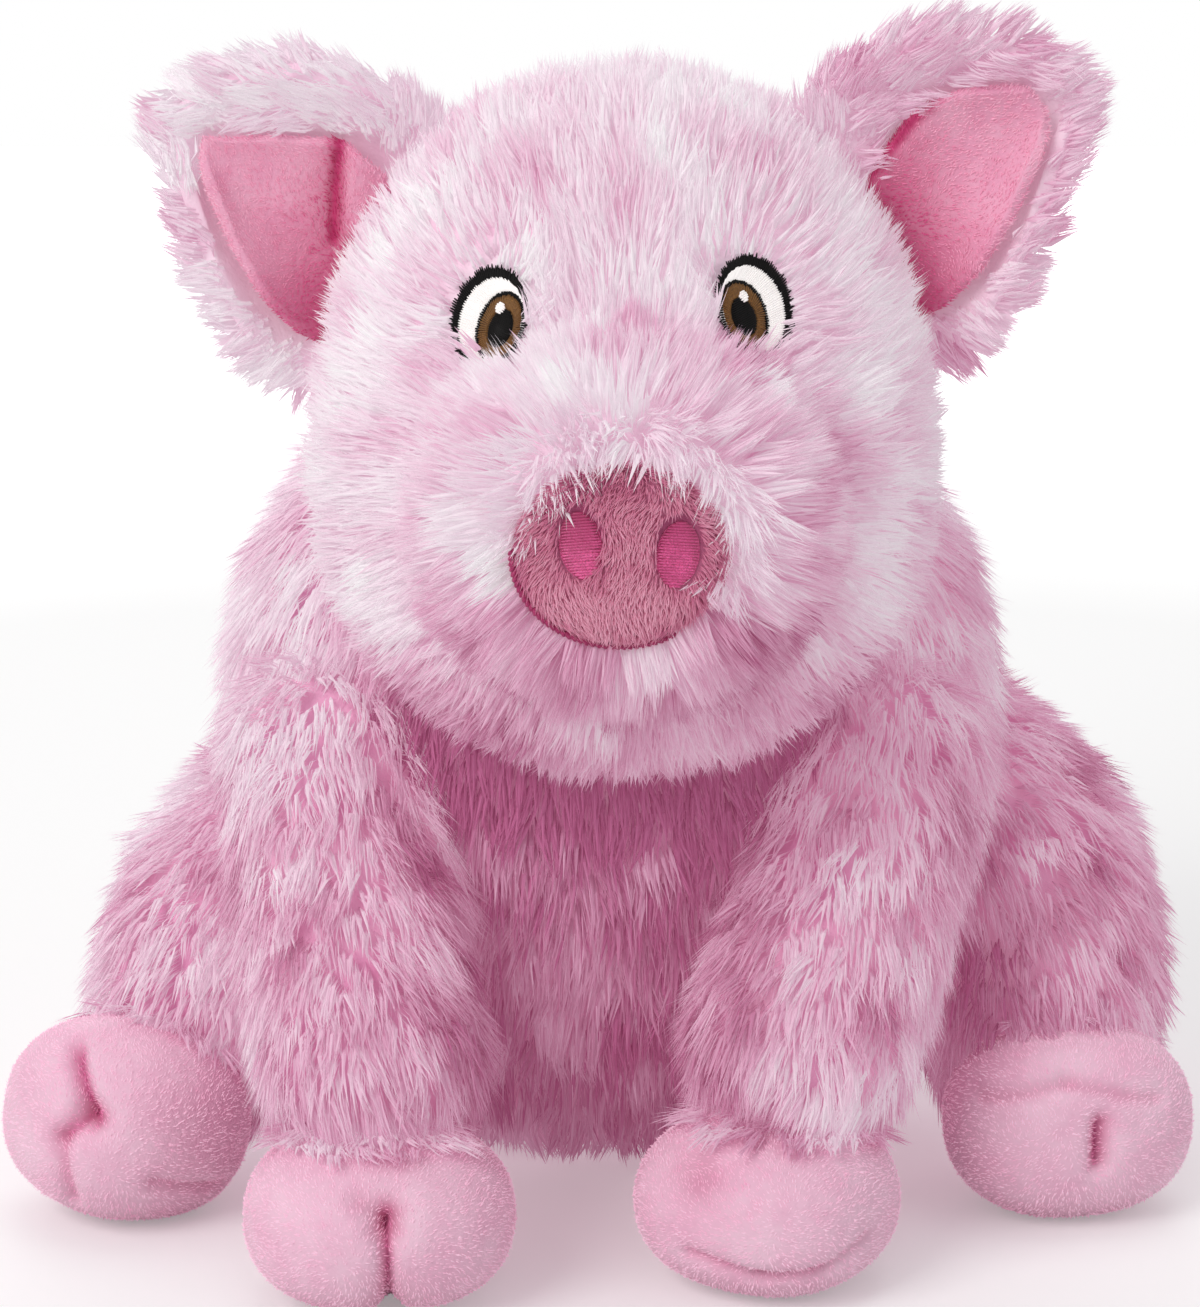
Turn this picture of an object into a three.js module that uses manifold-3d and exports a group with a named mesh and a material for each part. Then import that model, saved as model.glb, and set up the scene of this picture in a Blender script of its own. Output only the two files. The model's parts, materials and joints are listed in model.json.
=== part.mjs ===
import * as THREE from "three";
import { mergeVertices } from "three/addons/utils/BufferGeometryUtils.js";
import Module from "manifold-3d";

// A sitting plush pig. Lengths are millimetres, +Z is up and the pig looks towards -Y.
// Left and right are the pig's own, so its left side is +X.
// Every stuffed form is a furry or velvety cover, open where it is sewn on, round a filling of fibre.

const wasm = await Module();
wasm.setup();

// Driving dimensions: cloth and clearances
const furThickness = 6; // long pile, pressed down as far as it lies, on its backing cloth
const velvetThickness = 2.5; // short pile on its backing cloth
const sewnGap = 0.3; // between pieces that are sewn fast to each other
const swingGap = 0.8; // between a limb's round end and the hollow that it turns in
const roundEndTurns = [25, 50, 72, 90]; // degrees from the pole of a round end to each of its rings
const pressedFlat = 0.5; // how deep the floor presses each form that rests on it
const overrun = 30; // how far a cutting solid runs past what it cuts

// Driving dimensions: trunk
const trunk = { x: 2, y: 32, height: 164, halfWidth: 75, halfDepth: 57, lean: 25, sides: 20 };
// Each row: height, half width, half depth and forward lean, as shares of the trunk's own sizes.
const trunkShares = [
  [0.008, 0.42, 0.42, 0],
  [0.05, 0.63, 0.64, 0.04],
  [0.14, 0.81, 0.83, 0.12],
  [0.27, 0.95, 0.96, 0.25],
  [0.45, 1.0, 0.97, 0.46],
  [0.63, 0.99, 0.87, 0.67],
  [0.78, 0.9, 0.74, 0.82],
  [0.9, 0.66, 0.54, 0.94],
  [0.975, 0.33, 0.28, 1.0],
];

// Driving dimensions: head
const head = {
  x: 4.5,
  y: -8,
  z: 155,
  halfWidth: 57.5,
  halfDepth: 54,
  halfHeight: 63,
  lean: 20,
  sides: 20,
};
const headNod = 15; // degrees that the snout rises; at rest the chin lies on the chest
const neckOpening = { radius: 18, back: 14 }; // where the head's cover is sewn to the trunk's
// Each row: height from the chin up, half width, half depth and forward lean, as shares.
const headShares = [
  [0.035, 0.4, 0.42, 1.0],
  [0.13, 0.76, 0.76, 0.9],
  [0.27, 0.96, 0.96, 0.68],
  [0.43, 1.0, 1.0, 0.4],
  [0.6, 0.96, 0.97, 0.14],
  [0.76, 0.86, 0.87, 0],
  [0.89, 0.66, 0.67, 0],
  [0.97, 0.38, 0.4, 0],
];

// Driving dimensions: muzzle, snout pad and the lines on them
const muzzle = {
  length: 65.5,
  halfWidth: 37,
  halfHeight: 34,
  sideways: 1,
  drop: 8,
  rise: 2,
  inset: 34,
  sides: 16,
};
const muzzleShares = [
  [0.05, 0.97, 0.97, 0],
  [0.4, 1.0, 1.0, 0],
  [0.66, 0.88, 0.88, 0],
  [0.86, 0.68, 0.68, 0],
  [0.97, 0.44, 0.44, 0],
];
const pad = { halfWidth: 18, halfHeight: 15.5, thickness: 9, sunk: 5, sides: 16 };
const padShares = [
  [0.12, 0.99, 0.99, 0],
  [0.55, 1.0, 1.0, 0],
  [0.84, 0.82, 0.82, 0],
];
const nostril = {
  halfWidth: 4.3,
  halfHeight: 6,
  apart: 16.5,
  sideways: 1.6,
  rise: { left: 0.8, right: 2.5 },
  corners: 12,
};
const stitchHeight = 0.8; // how proud satin stitches stand of the cloth
const mouthLine = { radius: 1.1, beside: 0.4, steps: 12, sides: 6 };
const mouthTurnShares = { from: 0.5, to: 0.83 }; // of a full turn round the pad, from its left side
const mouthDepthShare = 0.35; // of the pad's thickness

// Driving dimensions: eyes, each an oval of satin stitches that leans inwards at its top
const eye = {
  apart: 48,
  sideways: -0.6,
  rise: { left: 28.4, right: 26.4 },
  lean: 24,
  corners: 14,
  depth: 40,
};
const eyeOvals = {
  outline: { halfWidth: 6.9, halfHeight: 9.4, inwards: 0, down: 0 },
  white: { halfWidth: 5.8, halfHeight: 8.3, inwards: 0.2, down: 0.2 },
  rim: { halfWidth: 4.5, halfHeight: 6.6, inwards: 0.9, down: 0.9 },
  iris: { halfWidth: 3.7, halfHeight: 5.8, inwards: 0.9, down: 0.9 },
  pupil: { halfWidth: 1.9, halfHeight: 3, inwards: 1.2, down: 1.6 },
  glint: { halfWidth: 1, halfHeight: 1.1, inwards: -0.1, down: -2.2 },
};

// Driving dimensions: ears, a furry back and a velvety lining sewn round their edge
const earBack = { thickness: 5, margin: 7 };
const earLining = { thickness: 2 };
const earFold = { back: -25, forward: 30, step: 11 }; // degrees about the root
const earSetBack = 5; // the ears' roots lie this far behind the middle of the head
// Insets are from the side of the head and drops from its crown, to both ends of an ear's root.
const ears = {
  left: {
    topInset: 23,
    topDrop: 11,
    bottomInset: 3,
    bottomDrop: 51,
    length: 42,
    halfSpan: 23,
    cup: 10,
    curl: 5,
    rake: 7,
  },
  right: {
    topInset: 23,
    topDrop: 14,
    bottomInset: 2,
    bottomDrop: 56,
    length: 41,
    halfSpan: 24,
    cup: 12,
    curl: 6,
    rake: 6,
  },
};
// Each row: way out from the root, and half span there, as shares of length and half span.
const earShares = [
  [0, 0.9],
  [0.2, 1.0],
  [0.45, 0.99],
  [0.7, 0.85],
  [0.9, 0.6],
  [1.0, 0.36],
];
const earColumns = 7;
const cupAtRootShare = 0.35;
const roundedTipShare = 0.14;

const limbStageShares = [0, 1 / 3, 2 / 3, 1]; // of a limb's turn, where the trunk is cut to clear it

// Driving dimensions: front legs, each from a round shoulder end down to a cuff over the foot
const frontLeg = { ball: 21, sides: 12, swing: 30 }; // swing in degrees, forwards and up
const frontLegShares = [
  [0.35, 0.96],
  [0.7, 0.94],
  [0.95, 0.97],
  [1.08, 0.8],
  [1.16, 0.45],
];
const frontLegs = {
  left: {
    shoulderOutwards: 52,
    shoulderAhead: 12,
    shoulderHeight: 87,
    kneeOutwards: 47,
    kneeAhead: 34,
    kneeHeight: 62,
    wristOutwards: 35,
    wristAhead: 50,
    wristHeight: 38,
  },
  right: {
    shoulderOutwards: 50,
    shoulderAhead: 12,
    shoulderHeight: 87,
    kneeOutwards: 48,
    kneeAhead: 35,
    kneeHeight: 62,
    wristOutwards: 41,
    wristAhead: 56,
    wristHeight: 37,
  },
};

// Driving dimensions: hind legs, each from a round hip end along the floor to the ankle
const hindLegs = {
  left: {
    ball: 35,
    hipOutwards: 60,
    hipAhead: -41,
    hipHeight: 59,
    kneeOutwards: 84,
    kneeAhead: -22,
    kneeHeight: 60,
    ankleOutwards: 86,
    ankleAhead: 6,
    ankleHeight: 27,
  },
  right: {
    ball: 32,
    hipOutwards: 56,
    hipAhead: -32,
    hipHeight: 50,
    kneeOutwards: 70,
    kneeAhead: -12,
    kneeHeight: 46,
    ankleOutwards: 80,
    ankleAhead: 7,
    ankleHeight: 27,
  },
};
const hindLeg = { sides: 14, splay: 20 }; // splay in degrees, outwards along the floor
const hindLegShares = [
  [0.35, 0.95],
  [0.65, 0.83],
  [0.9, 0.68],
  [1.1, 0.57],
  [1.28, 0.36],
];

// Driving dimensions: feet, each two toes side by side, turned by yaw and tipped by pitch, in degrees
const toe = { halfWidthShare: 0.6, sides: 12 };
const feet = {
  front_left: {
    outwards: 31,
    ahead: 57,
    height: 15.5,
    halfWidth: 24,
    halfHeight: 16,
    halfLength: 23,
    yaw: -30,
    pitch: 0,
  },
  front_right: {
    outwards: 40.5,
    ahead: 65,
    height: 15.5,
    halfWidth: 25,
    halfHeight: 16,
    halfLength: 23,
    yaw: 2,
    pitch: 0,
  },
  hind_left: {
    outwards: 90,
    ahead: 21,
    height: 18,
    halfWidth: 24,
    halfHeight: 18.5,
    halfLength: 19,
    yaw: 12,
    pitch: 4,
  },
  hind_right: {
    outwards: 91,
    ahead: 22,
    height: 18.5,
    halfWidth: 22,
    halfHeight: 19,
    halfLength: 23,
    yaw: -50,
    pitch: 12,
  },
};

// Driving dimensions: tail, a tapered tube that leaves the trunk and curls once
const tail = {
  ball: 5,
  tip: 2.8,
  z: 56,
  rootInset: 2,
  stem: 19,
  curlRadius: 8.5,
  sideways: 9,
  turns: 1.1,
  points: 14,
  rings: 16,
  sides: 6,
};

// Colours, roughness: cloth does not shine
const colours = {
  fur: 0xf2b6cf,
  velvet: 0xf3a3c4,
  lining: 0xe8679f,
  snout: 0xd99ab4,
  nostril: 0xd23c86,
  thread: 0xb8336f,
  filling: 0xf4f1ea,
  black: 0x17130f,
  white: 0xf5f3ee,
  brown: 0x6b4a23,
};

// A place on one side of the pig: outwards from the middle, ahead of the origin and above the floor.
const signOf = (name) => (name.includes("left") ? 1 : -1);
const at = (name, outwards, ahead, height) => new THREE.Vector3(signOf(name) * outwards, -ahead, height);
const jointAt = (limbSizes, joint, side) =>
  at(side, limbSizes[`${joint}Outwards`], limbSizes[`${joint}Ahead`], limbSizes[`${joint}Height`]);
const degrees = THREE.MathUtils.degToRad;

// A closed surface over rings of points, with one point at each end.
function closedOver(rings, startPoint, endPoint) {
  const sides = rings[0].length;
  const points = [startPoint, ...rings.flat(), endPoint];
  const last = points.length - 1;
  const index = [];
  const corner = (ring, side) => 1 + ring * sides + (side % sides);
  for (let side = 0; side < sides; side++) {
    index.push(0, corner(0, side + 1), corner(0, side));
    index.push(last, corner(rings.length - 1, side), corner(rings.length - 1, side + 1));
    for (let ring = 0; ring + 1 < rings.length; ring++) {
      index.push(corner(ring, side), corner(ring, side + 1), corner(ring + 1, side + 1));
      index.push(corner(ring, side), corner(ring + 1, side + 1), corner(ring + 1, side));
    }
  }
  return new THREE.BufferGeometry().setFromPoints(points).setIndex(index);
}

// The place and direction at a distance along a curve, going straight on past both its ends.
function alongCurve(curve, distance) {
  const length = curve.getLength();
  const share = THREE.MathUtils.clamp(distance / length, 0, 1);
  const direction = curve.getTangentAt(share);
  const place = curve.getPointAt(share).addScaledVector(direction, distance - share * length);
  return { place, direction };
}

// A stuffed form: oval sections at distances along a curve. Each stop is {distance, across, deep, lean}.
function swelling(curve, acrossHint, stops, sides) {
  const rings = stops.slice(1, -1).map(({ distance, across, deep, lean }) => {
    const { place, direction } = alongCurve(curve, distance);
    const side = acrossHint.clone().addScaledVector(direction, -acrossHint.dot(direction)).normalize();
    const front = new THREE.Vector3().crossVectors(direction, side);
    return Array.from({ length: sides }, (_, k) => {
      const turn = (2 * Math.PI * k) / sides;
      return place
        .clone()
        .addScaledVector(side, across * Math.cos(turn))
        .addScaledVector(front, deep * Math.sin(turn) + (lean ?? 0));
    });
  });
  const end = (stop) => {
    const { place, direction } = alongCurve(curve, stop.distance);
    const side = acrossHint.clone().addScaledVector(direction, -acrossHint.dot(direction)).normalize();
    const front = new THREE.Vector3().crossVectors(direction, side);
    return place.addScaledVector(front, stop.lean ?? 0);
  };
  return closedOver(rings, end(stops[0]), end(stops[stops.length - 1]));
}

// Stops for a form that is given by shares of its length and half sizes, grown all round by grow.
function stopsFromShares(shares, length, across, deep, lean, grow) {
  const stretched = (share) => length * share + grow * (2 * share - 1);
  const rows = shares.map(([share, wide, thick, forward]) => ({
    distance: stretched(share),
    across: across * wide + grow,
    deep: deep * thick + grow,
    lean: lean * forward,
  }));
  const first = { distance: stretched(0), lean: rows[0].lean };
  const final = { distance: stretched(1), lean: rows[rows.length - 1].lean };
  return [first, ...rows, final];
}

// Stops for the shaft of a limb, at shares of its length and of its ball's radius, and for its tip.
function shaftStops(ball, shares, length, grow) {
  const [endShare, endThick] = shares[shares.length - 1];
  const shaft = shares.map(([share, thick]) => ({
    distance: length * share + (grow * share) / endShare,
    across: ball * thick + grow,
    deep: ball * thick + grow,
  }));
  return [...shaft, { distance: length * endShare + (ball * endThick) / 4 + grow }];
}

// Stops for a whole limb: a round end about the start of the curve, then the shaft.
function limbStops(ball, shares, length, grow) {
  const radius = ball + grow;
  const cap = roundEndTurns.map(degrees).map((turn) => ({
    distance: -radius * Math.cos(turn),
    across: radius * Math.sin(turn),
    deep: radius * Math.sin(turn),
  }));
  return [{ distance: -radius }, ...cap, ...shaftStops(ball, shares, length, grow)];
}

// Geometry to solid and back, for cuts and joins.
function solid(geometry) {
  const bare = geometry.clone();
  bare.deleteAttribute("normal");
  bare.deleteAttribute("uv");
  const merged = mergeVertices(bare, 1e-4);
  return new wasm.Manifold(
    new wasm.Mesh({
      numProp: 3,
      vertProperties: new Float32Array(merged.attributes.position.array),
      triVerts: new Uint32Array(merged.index.array),
    }),
  );
}

function geometryOf(made) {
  const mesh = made.getMesh();
  const geometry = new THREE.BufferGeometry();
  geometry.setAttribute("position", new THREE.BufferAttribute(new Float32Array(mesh.vertProperties), 3));
  geometry.setIndex(new THREE.BufferAttribute(new Uint32Array(mesh.triVerts), 1));
  return geometry.toNonIndexed();
}

function turned(geometry, pivot, axis, angle) {
  return geometry
    .clone()
    .translate(-pivot.x, -pivot.y, -pivot.z)
    .applyMatrix4(new THREE.Matrix4().makeRotationAxis(axis, degrees(angle)))
    .translate(pivot.x, pivot.y, pivot.z);
}

function without(made, cutters) {
  return cutters.reduce((left, cutter) => left.subtract(cutter), made);
}

const xAxis = new THREE.Vector3(1, 0, 0);
const yAxis = new THREE.Vector3(0, 1, 0);
const zAxis = new THREE.Vector3(0, 0, 1);

// What lies below the floor, for pressing the resting forms flat.
const belowFloor = solid(
  new THREE.BoxGeometry(8 * trunk.halfWidth, 8 * trunk.halfDepth, overrun).translate(0, 0, -overrun / 2),
);

function trunkForm(grow) {
  const base = new THREE.Vector3(trunk.x, trunk.y, -pressedFlat);
  const top = base.clone().setZ(trunk.height);
  const stops = stopsFromShares(
    trunkShares, trunk.height + pressedFlat, trunk.halfWidth, trunk.halfDepth, -trunk.lean, grow,
  );
  return swelling(new THREE.LineCurve3(base, top), xAxis, stops, trunk.sides);
}

const headCentre = new THREE.Vector3(head.x, head.y, head.z);

function headForm(grow) {
  const chin = headCentre.clone().setZ(head.z - head.halfHeight);
  const crown = headCentre.clone().setZ(head.z + head.halfHeight);
  const stops = stopsFromShares(
    headShares, 2 * head.halfHeight, head.halfWidth, head.halfDepth, -head.lean, grow,
  );
  return swelling(new THREE.LineCurve3(chin, crown), xAxis, stops, head.sides);
}

// The muzzle runs forwards from inside the face; its end carries the snout pad.
const muzzleRoot = new THREE.Vector3(
  head.x + muzzle.sideways,
  head.y - head.halfDepth + muzzle.inset,
  head.z - muzzle.drop - muzzle.rise,
);
const muzzleTip = new THREE.Vector3(
  head.x - muzzle.sideways,
  muzzleRoot.y - muzzle.length,
  head.z - muzzle.drop,
);
const muzzleLine = new THREE.LineCurve3(muzzleRoot, muzzleTip);
const muzzleWay = muzzleLine.getTangentAt(1);

function muzzleForm(grow) {
  const stops = stopsFromShares(
    muzzleShares, muzzleLine.getLength(), muzzle.halfWidth, muzzle.halfHeight, 0, grow,
  );
  return swelling(muzzleLine, xAxis, stops, muzzle.sides);
}

const padLine = new THREE.LineCurve3(
  muzzleTip.clone().addScaledVector(muzzleWay, -pad.sunk),
  muzzleTip.clone().addScaledVector(muzzleWay, pad.thickness - pad.sunk),
);

function padForm(grow) {
  const stops = stopsFromShares(padShares, pad.thickness, pad.halfWidth, pad.halfHeight, 0, grow);
  return swelling(padLine, xAxis, stops, pad.sides);
}

// An outline run through a form's surface from in front of it to behind it.
function prismThrough(outline, place, depth, roll) {
  return solid(
    new THREE.ExtrudeGeometry(outline, { depth, bevelEnabled: false })
      .translate(0, 0, -depth / 2)
      .rotateZ(roll)
      .rotateX(Math.PI / 2)
      .translate(place.x, place.y, place.z),
  );
}

// A patch of satin stitches: what such a prism keeps of a thin layer over the form's surface.
function patchOn(form, prism) {
  return prism.intersect(solid(form(sewnGap + stitchHeight))).subtract(solid(form(sewnGap)));
}

// An oval outline, grown by grow, with an oval hole that clears the next patch in, if there is one.
function ovalShape(oval, corners, inner = null, grow = 0) {
  const ring = ({ halfWidth, halfHeight, inwards = 0, down = 0 }, more) =>
    Array.from({ length: corners }, (_, k) => {
      const turn = (2 * Math.PI * k) / corners;
      return new THREE.Vector2(
        -inwards + (halfWidth + more) * Math.cos(turn),
        -down + (halfHeight + more) * Math.sin(turn),
      );
    });
  const shape = new THREE.Shape(ring(oval, grow));
  if (inner) shape.holes.push(new THREE.Path(ring(inner, sewnGap)));
  return shape;
}

// An ear leaf between two offsets from its middle surface, cupped forwards and curled at the tip.
function earLeaf(ear, outwardSign, near, far, margin) {
  const rootEnd = (inset, drop) =>
    new THREE.Vector3(
      head.x + outwardSign * (head.halfWidth - inset), head.y + earSetBack, head.z + head.halfHeight - drop,
    );
  const top = rootEnd(ear.topInset, ear.topDrop);
  const bottom = rootEnd(ear.bottomInset, ear.bottomDrop);
  const root = top.clone().add(bottom).multiplyScalar(0.5);
  const up = top.clone().sub(bottom).normalize();
  const outwards = new THREE.Vector3().crossVectors(yAxis, up).multiplyScalar(outwardSign);
  const leaf = (offset) =>
    earShares.map(([out, span]) =>
      Array.from({ length: earColumns }, (_, k) => {
        const across = (2 * k) / (earColumns - 1) - 1;
        const cup = ear.cup * (cupAtRootShare + (1 - cupAtRootShare) * Math.sin(Math.PI * out));
        const forward = cup * across * across + ear.curl * out * out;
        const reach = (ear.length + margin) * out * (1 - roundedTipShare * across * across);
        return root
          .clone()
          .addScaledVector(up, (ear.halfSpan + margin) * span * across + ear.rake * out)
          .addScaledVector(outwards, reach)
          .addScaledVector(yAxis, -forward - offset);
      }),
    );
  return { geometry: slab(leaf(near), leaf(far), outwardSign), root, up };
}

// A closed slab between two grids of points that have the same rows and columns.
function slab(nearGrid, farGrid, handed) {
  const rows = nearGrid.length;
  const columns = nearGrid[0].length;
  const points = [...nearGrid.flat(), ...farGrid.flat()];
  const near = (r, c) => r * columns + c;
  const far = (r, c) => rows * columns + r * columns + c;
  const index = [];
  const quad = (a, b, c, d) => (handed > 0 ? index.push(a, b, c, a, c, d) : index.push(a, c, b, a, d, c));
  for (let r = 0; r + 1 < rows; r++)
    for (let c = 0; c + 1 < columns; c++) {
      quad(near(r, c), near(r, c + 1), near(r + 1, c + 1), near(r + 1, c));
      quad(far(r, c), far(r + 1, c), far(r + 1, c + 1), far(r, c + 1));
    }
  for (let r = 0; r + 1 < rows; r++) {
    quad(near(r, 0), near(r + 1, 0), far(r + 1, 0), far(r, 0));
    quad(near(r, columns - 1), far(r, columns - 1), far(r + 1, columns - 1), near(r + 1, columns - 1));
  }
  for (let c = 0; c + 1 < columns; c++) {
    quad(near(0, c), far(0, c), far(0, c + 1), near(0, c + 1));
    quad(near(rows - 1, c), near(rows - 1, c + 1), far(rows - 1, c + 1), far(rows - 1, c));
  }
  return new THREE.BufferGeometry().setFromPoints(points).setIndex(index);
}

// The two leaves of an ear. Their root edge is cut back so that it clears the head however the ear folds.
function earSolids(name) {
  const sign = signOf(name);
  const back = earLeaf(ears[name], sign, -sewnGap / 2 - earBack.thickness, -sewnGap / 2, earBack.margin);
  const lining = earLeaf(ears[name], sign, sewnGap / 2, sewnGap / 2 + earLining.thickness, 0);
  const cutters = [];
  for (let angle = earFold.back; angle <= earFold.forward; angle += earFold.step)
    cutters.push(solid(turned(headForm(sewnGap), back.root, back.up, sign * angle)));
  return {
    back: without(solid(back.geometry), cutters),
    lining: without(solid(lining.geometry), cutters),
  };
}

// A limb along a bent line: its solid form, the hollow that it turns in, and the pole of its round end.
function limb(points, ball, shares, sides, acrossHint, axis, limit) {
  const curve = new THREE.QuadraticBezierCurve3(...points);
  const length = curve.getLength();
  const pivot = points[0];
  const rim = { distance: 0, across: ball + swingGap, deep: ball + swingGap };
  const shaftFrom = [{ distance: -swingGap }, rim, ...shaftStops(ball, shares, length, swingGap)];
  const shaft = swelling(curve, acrossHint, shaftFrom, sides);
  const clear = (ball + swingGap) / Math.cos(Math.PI / sides) ** 2;
  const socket = new THREE.SphereGeometry(clear, sides, sides / 2).translate(pivot.x, pivot.y, pivot.z);
  const turns = limbStageShares.map((share) => turned(shaft, pivot, axis, share * limit));
  return {
    form: (grow) => swelling(curve, acrossHint, limbStops(ball, shares, length, grow), sides),
    hollow: [socket, ...turns].map(solid),
    pole: alongCurve(curve, -ball).place,
    ball,
  };
}

function frontLimb(side) {
  const points = ["shoulder", "knee", "wrist"].map((joint) => jointAt(frontLegs[side], joint, side));
  return limb(points, frontLeg.ball, frontLegShares, frontLeg.sides, xAxis, xAxis, -frontLeg.swing);
}

function hindLimb(side) {
  const points = ["hip", "knee", "ankle"].map((joint) => jointAt(hindLegs[side], joint, side));
  const splay = signOf(side) * hindLeg.splay;
  return limb(points, hindLegs[side].ball, hindLegShares, hindLeg.sides, zAxis, zAxis, splay);
}

// A foot: two oval toes side by side, joined where they meet, so that a cleft runs between them.
function footForm(name) {
  const foot = feet[name];
  const rows = [0.07, 0.28, 0.5, 0.72, 0.93];
  const shares = rows.map((share) => {
    const thick = Math.sqrt(1 - (2 * share - 1) ** 2);
    return [share, thick, thick, 0];
  });
  const place = new THREE.Matrix4()
    .makeRotationZ(degrees(foot.yaw))
    .multiply(new THREE.Matrix4().makeRotationX(-degrees(foot.pitch)))
    .setPosition(at(name, foot.outwards, foot.ahead, foot.height));
  return (grow) => {
    const toes = [-1, 1].map((sign) => {
      const across = sign * foot.halfWidth * (1 - toe.halfWidthShare);
      const line = new THREE.LineCurve3(
        new THREE.Vector3(across, foot.halfLength, 0),
        new THREE.Vector3(across, -foot.halfLength, 0),
      );
      const stops = stopsFromShares(
        shares, 2 * foot.halfLength, foot.halfWidth * toe.halfWidthShare, foot.halfHeight, 0, grow,
      );
      return solid(swelling(line, xAxis, stops, toe.sides).applyMatrix4(place));
    });
    return toes[0].add(toes[1]);
  };
}

// The tail's line: a short stem out of the back of the trunk, then a curl that closes on itself sideways.
const tailRoot = new THREE.Vector3(trunk.x, 0, tail.z);

function tailCurve() {
  const points = [tailRoot.clone(), tailRoot.clone().addScaledVector(yAxis, tail.stem / 2)];
  for (let k = 0; k <= tail.points; k++) {
    const turn = (2 * Math.PI * tail.turns * k) / tail.points;
    const share = k / tail.points;
    points.push(
      new THREE.Vector3(
        tailRoot.x + tail.sideways * share,
        tailRoot.y + tail.stem + tail.curlRadius * Math.sin(turn),
        tailRoot.z + tail.curlRadius * (1 - Math.cos(turn)),
      ),
    );
  }
  return new THREE.CatmullRomCurve3(points);
}

function tailForm(grow) {
  const curve = tailCurve();
  const length = curve.getLength();
  const shares = Array.from({ length: tail.rings }, (_, k) => (k + 1) / tail.rings);
  const radius = (share) => tail.ball + (tail.tip - tail.ball) * share;
  const cap = [40, 90].map(degrees).map((turn) => ({
    distance: -(tail.ball + grow) * Math.cos(turn),
    across: (tail.ball + grow) * Math.sin(turn),
    deep: (tail.ball + grow) * Math.sin(turn),
  }));
  const tube = shares.map((share) => ({
    distance: length * share,
    across: radius(share) + grow,
    deep: radius(share) + grow,
  }));
  const tip = { distance: length + tail.tip / 2 + grow };
  return swelling(curve, xAxis, [{ distance: -tail.ball - grow }, ...cap, ...tube, tip], tail.sides);
}

// The trunk's back wall at the tail's height sets where the tail starts.
function trunkBackAt(height) {
  const share = height / trunk.height;
  const upper = trunkShares.findIndex((row) => row[0] >= share);
  const [a, b] = [trunkShares[upper - 1], trunkShares[upper]];
  const mix = (share - a[0]) / (b[0] - a[0]);
  const deep = a[2] + (b[2] - a[2]) * mix;
  const lean = a[3] + (b[3] - a[3]) * mix;
  return trunk.y - trunk.lean * lean + trunk.halfDepth * deep;
}
tailRoot.y = trunkBackAt(tail.z) - tail.rootInset;

const pig = new THREE.Group();

function addPiece(name, made, colour, roughness = 0.9) {
  const material = new THREE.MeshStandardMaterial({ color: colour, roughness, metalness: 0 });
  const mesh = new THREE.Mesh(geometryOf(made), material);
  mesh.name = name;
  pig.add(mesh);
}

// Trunk: hollows for the head at both ends of its nod, for the limbs as they turn and for the tail.
const sides = ["left", "right"];
const limbs = Object.fromEntries(
  sides.flatMap((side) => [
    [`front_leg_${side}`, frontLimb(side)],
    [`hind_leg_${side}`, hindLimb(side)],
  ]),
);
const hollows = [
  ...[0, headNod].map((angle) => solid(turned(headForm(swingGap), headCentre, xAxis, -angle))),
  ...Object.values(limbs).flatMap(({ hollow }) => hollow),
  solid(tailForm(swingGap)),
  belowFloor,
];
addPiece(
  "trunk_cover",
  without(solid(trunkForm(0)), [solid(trunkForm(-furThickness)), ...hollows]),
  colours.fur,
);
addPiece("trunk_filling", without(solid(trunkForm(-furThickness - sewnGap)), hollows), colours.filling);

// Head: its cover is open at the neck.
const neckHole = solid(
  new THREE.CylinderGeometry(neckOpening.radius, neckOpening.radius, overrun, 16)
    .rotateX(Math.PI / 2)
    .translate(head.x, head.y + neckOpening.back, head.z - head.halfHeight),
);
addPiece(
  "head_cover",
  without(solid(headForm(0)), [solid(headForm(-furThickness)), neckHole]),
  colours.fur,
);
addPiece("head_filling", solid(headForm(-furThickness - sewnGap)), colours.filling);

// Muzzle and snout pad, each open towards what it is sewn to.
const headSkin = solid(headForm(sewnGap));
const muzzleSkin = solid(muzzleForm(sewnGap));
addPiece(
  "muzzle_cover",
  without(solid(muzzleForm(0)), [solid(muzzleForm(-furThickness)), headSkin]),
  colours.fur,
);
addPiece(
  "muzzle_filling",
  without(solid(muzzleForm(-furThickness - sewnGap)), [headSkin]),
  colours.filling,
);
addPiece("snout_pad", without(solid(padForm(0)), [muzzleSkin]), colours.snout);

const padFront = padLine.getPointAt(1);
for (const side of sides) {
  const sign = signOf(side);
  const place = padFront
    .clone()
    .add(new THREE.Vector3(nostril.sideways + (sign * nostril.apart) / 2, 0, nostril.rise[side]));
  const prism = prismThrough(ovalShape(nostril, nostril.corners), place, pad.thickness, 0);
  addPiece(`nostril_${side}`, patchOn(padForm, prism), colours.nostril, 0.45);
}

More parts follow.
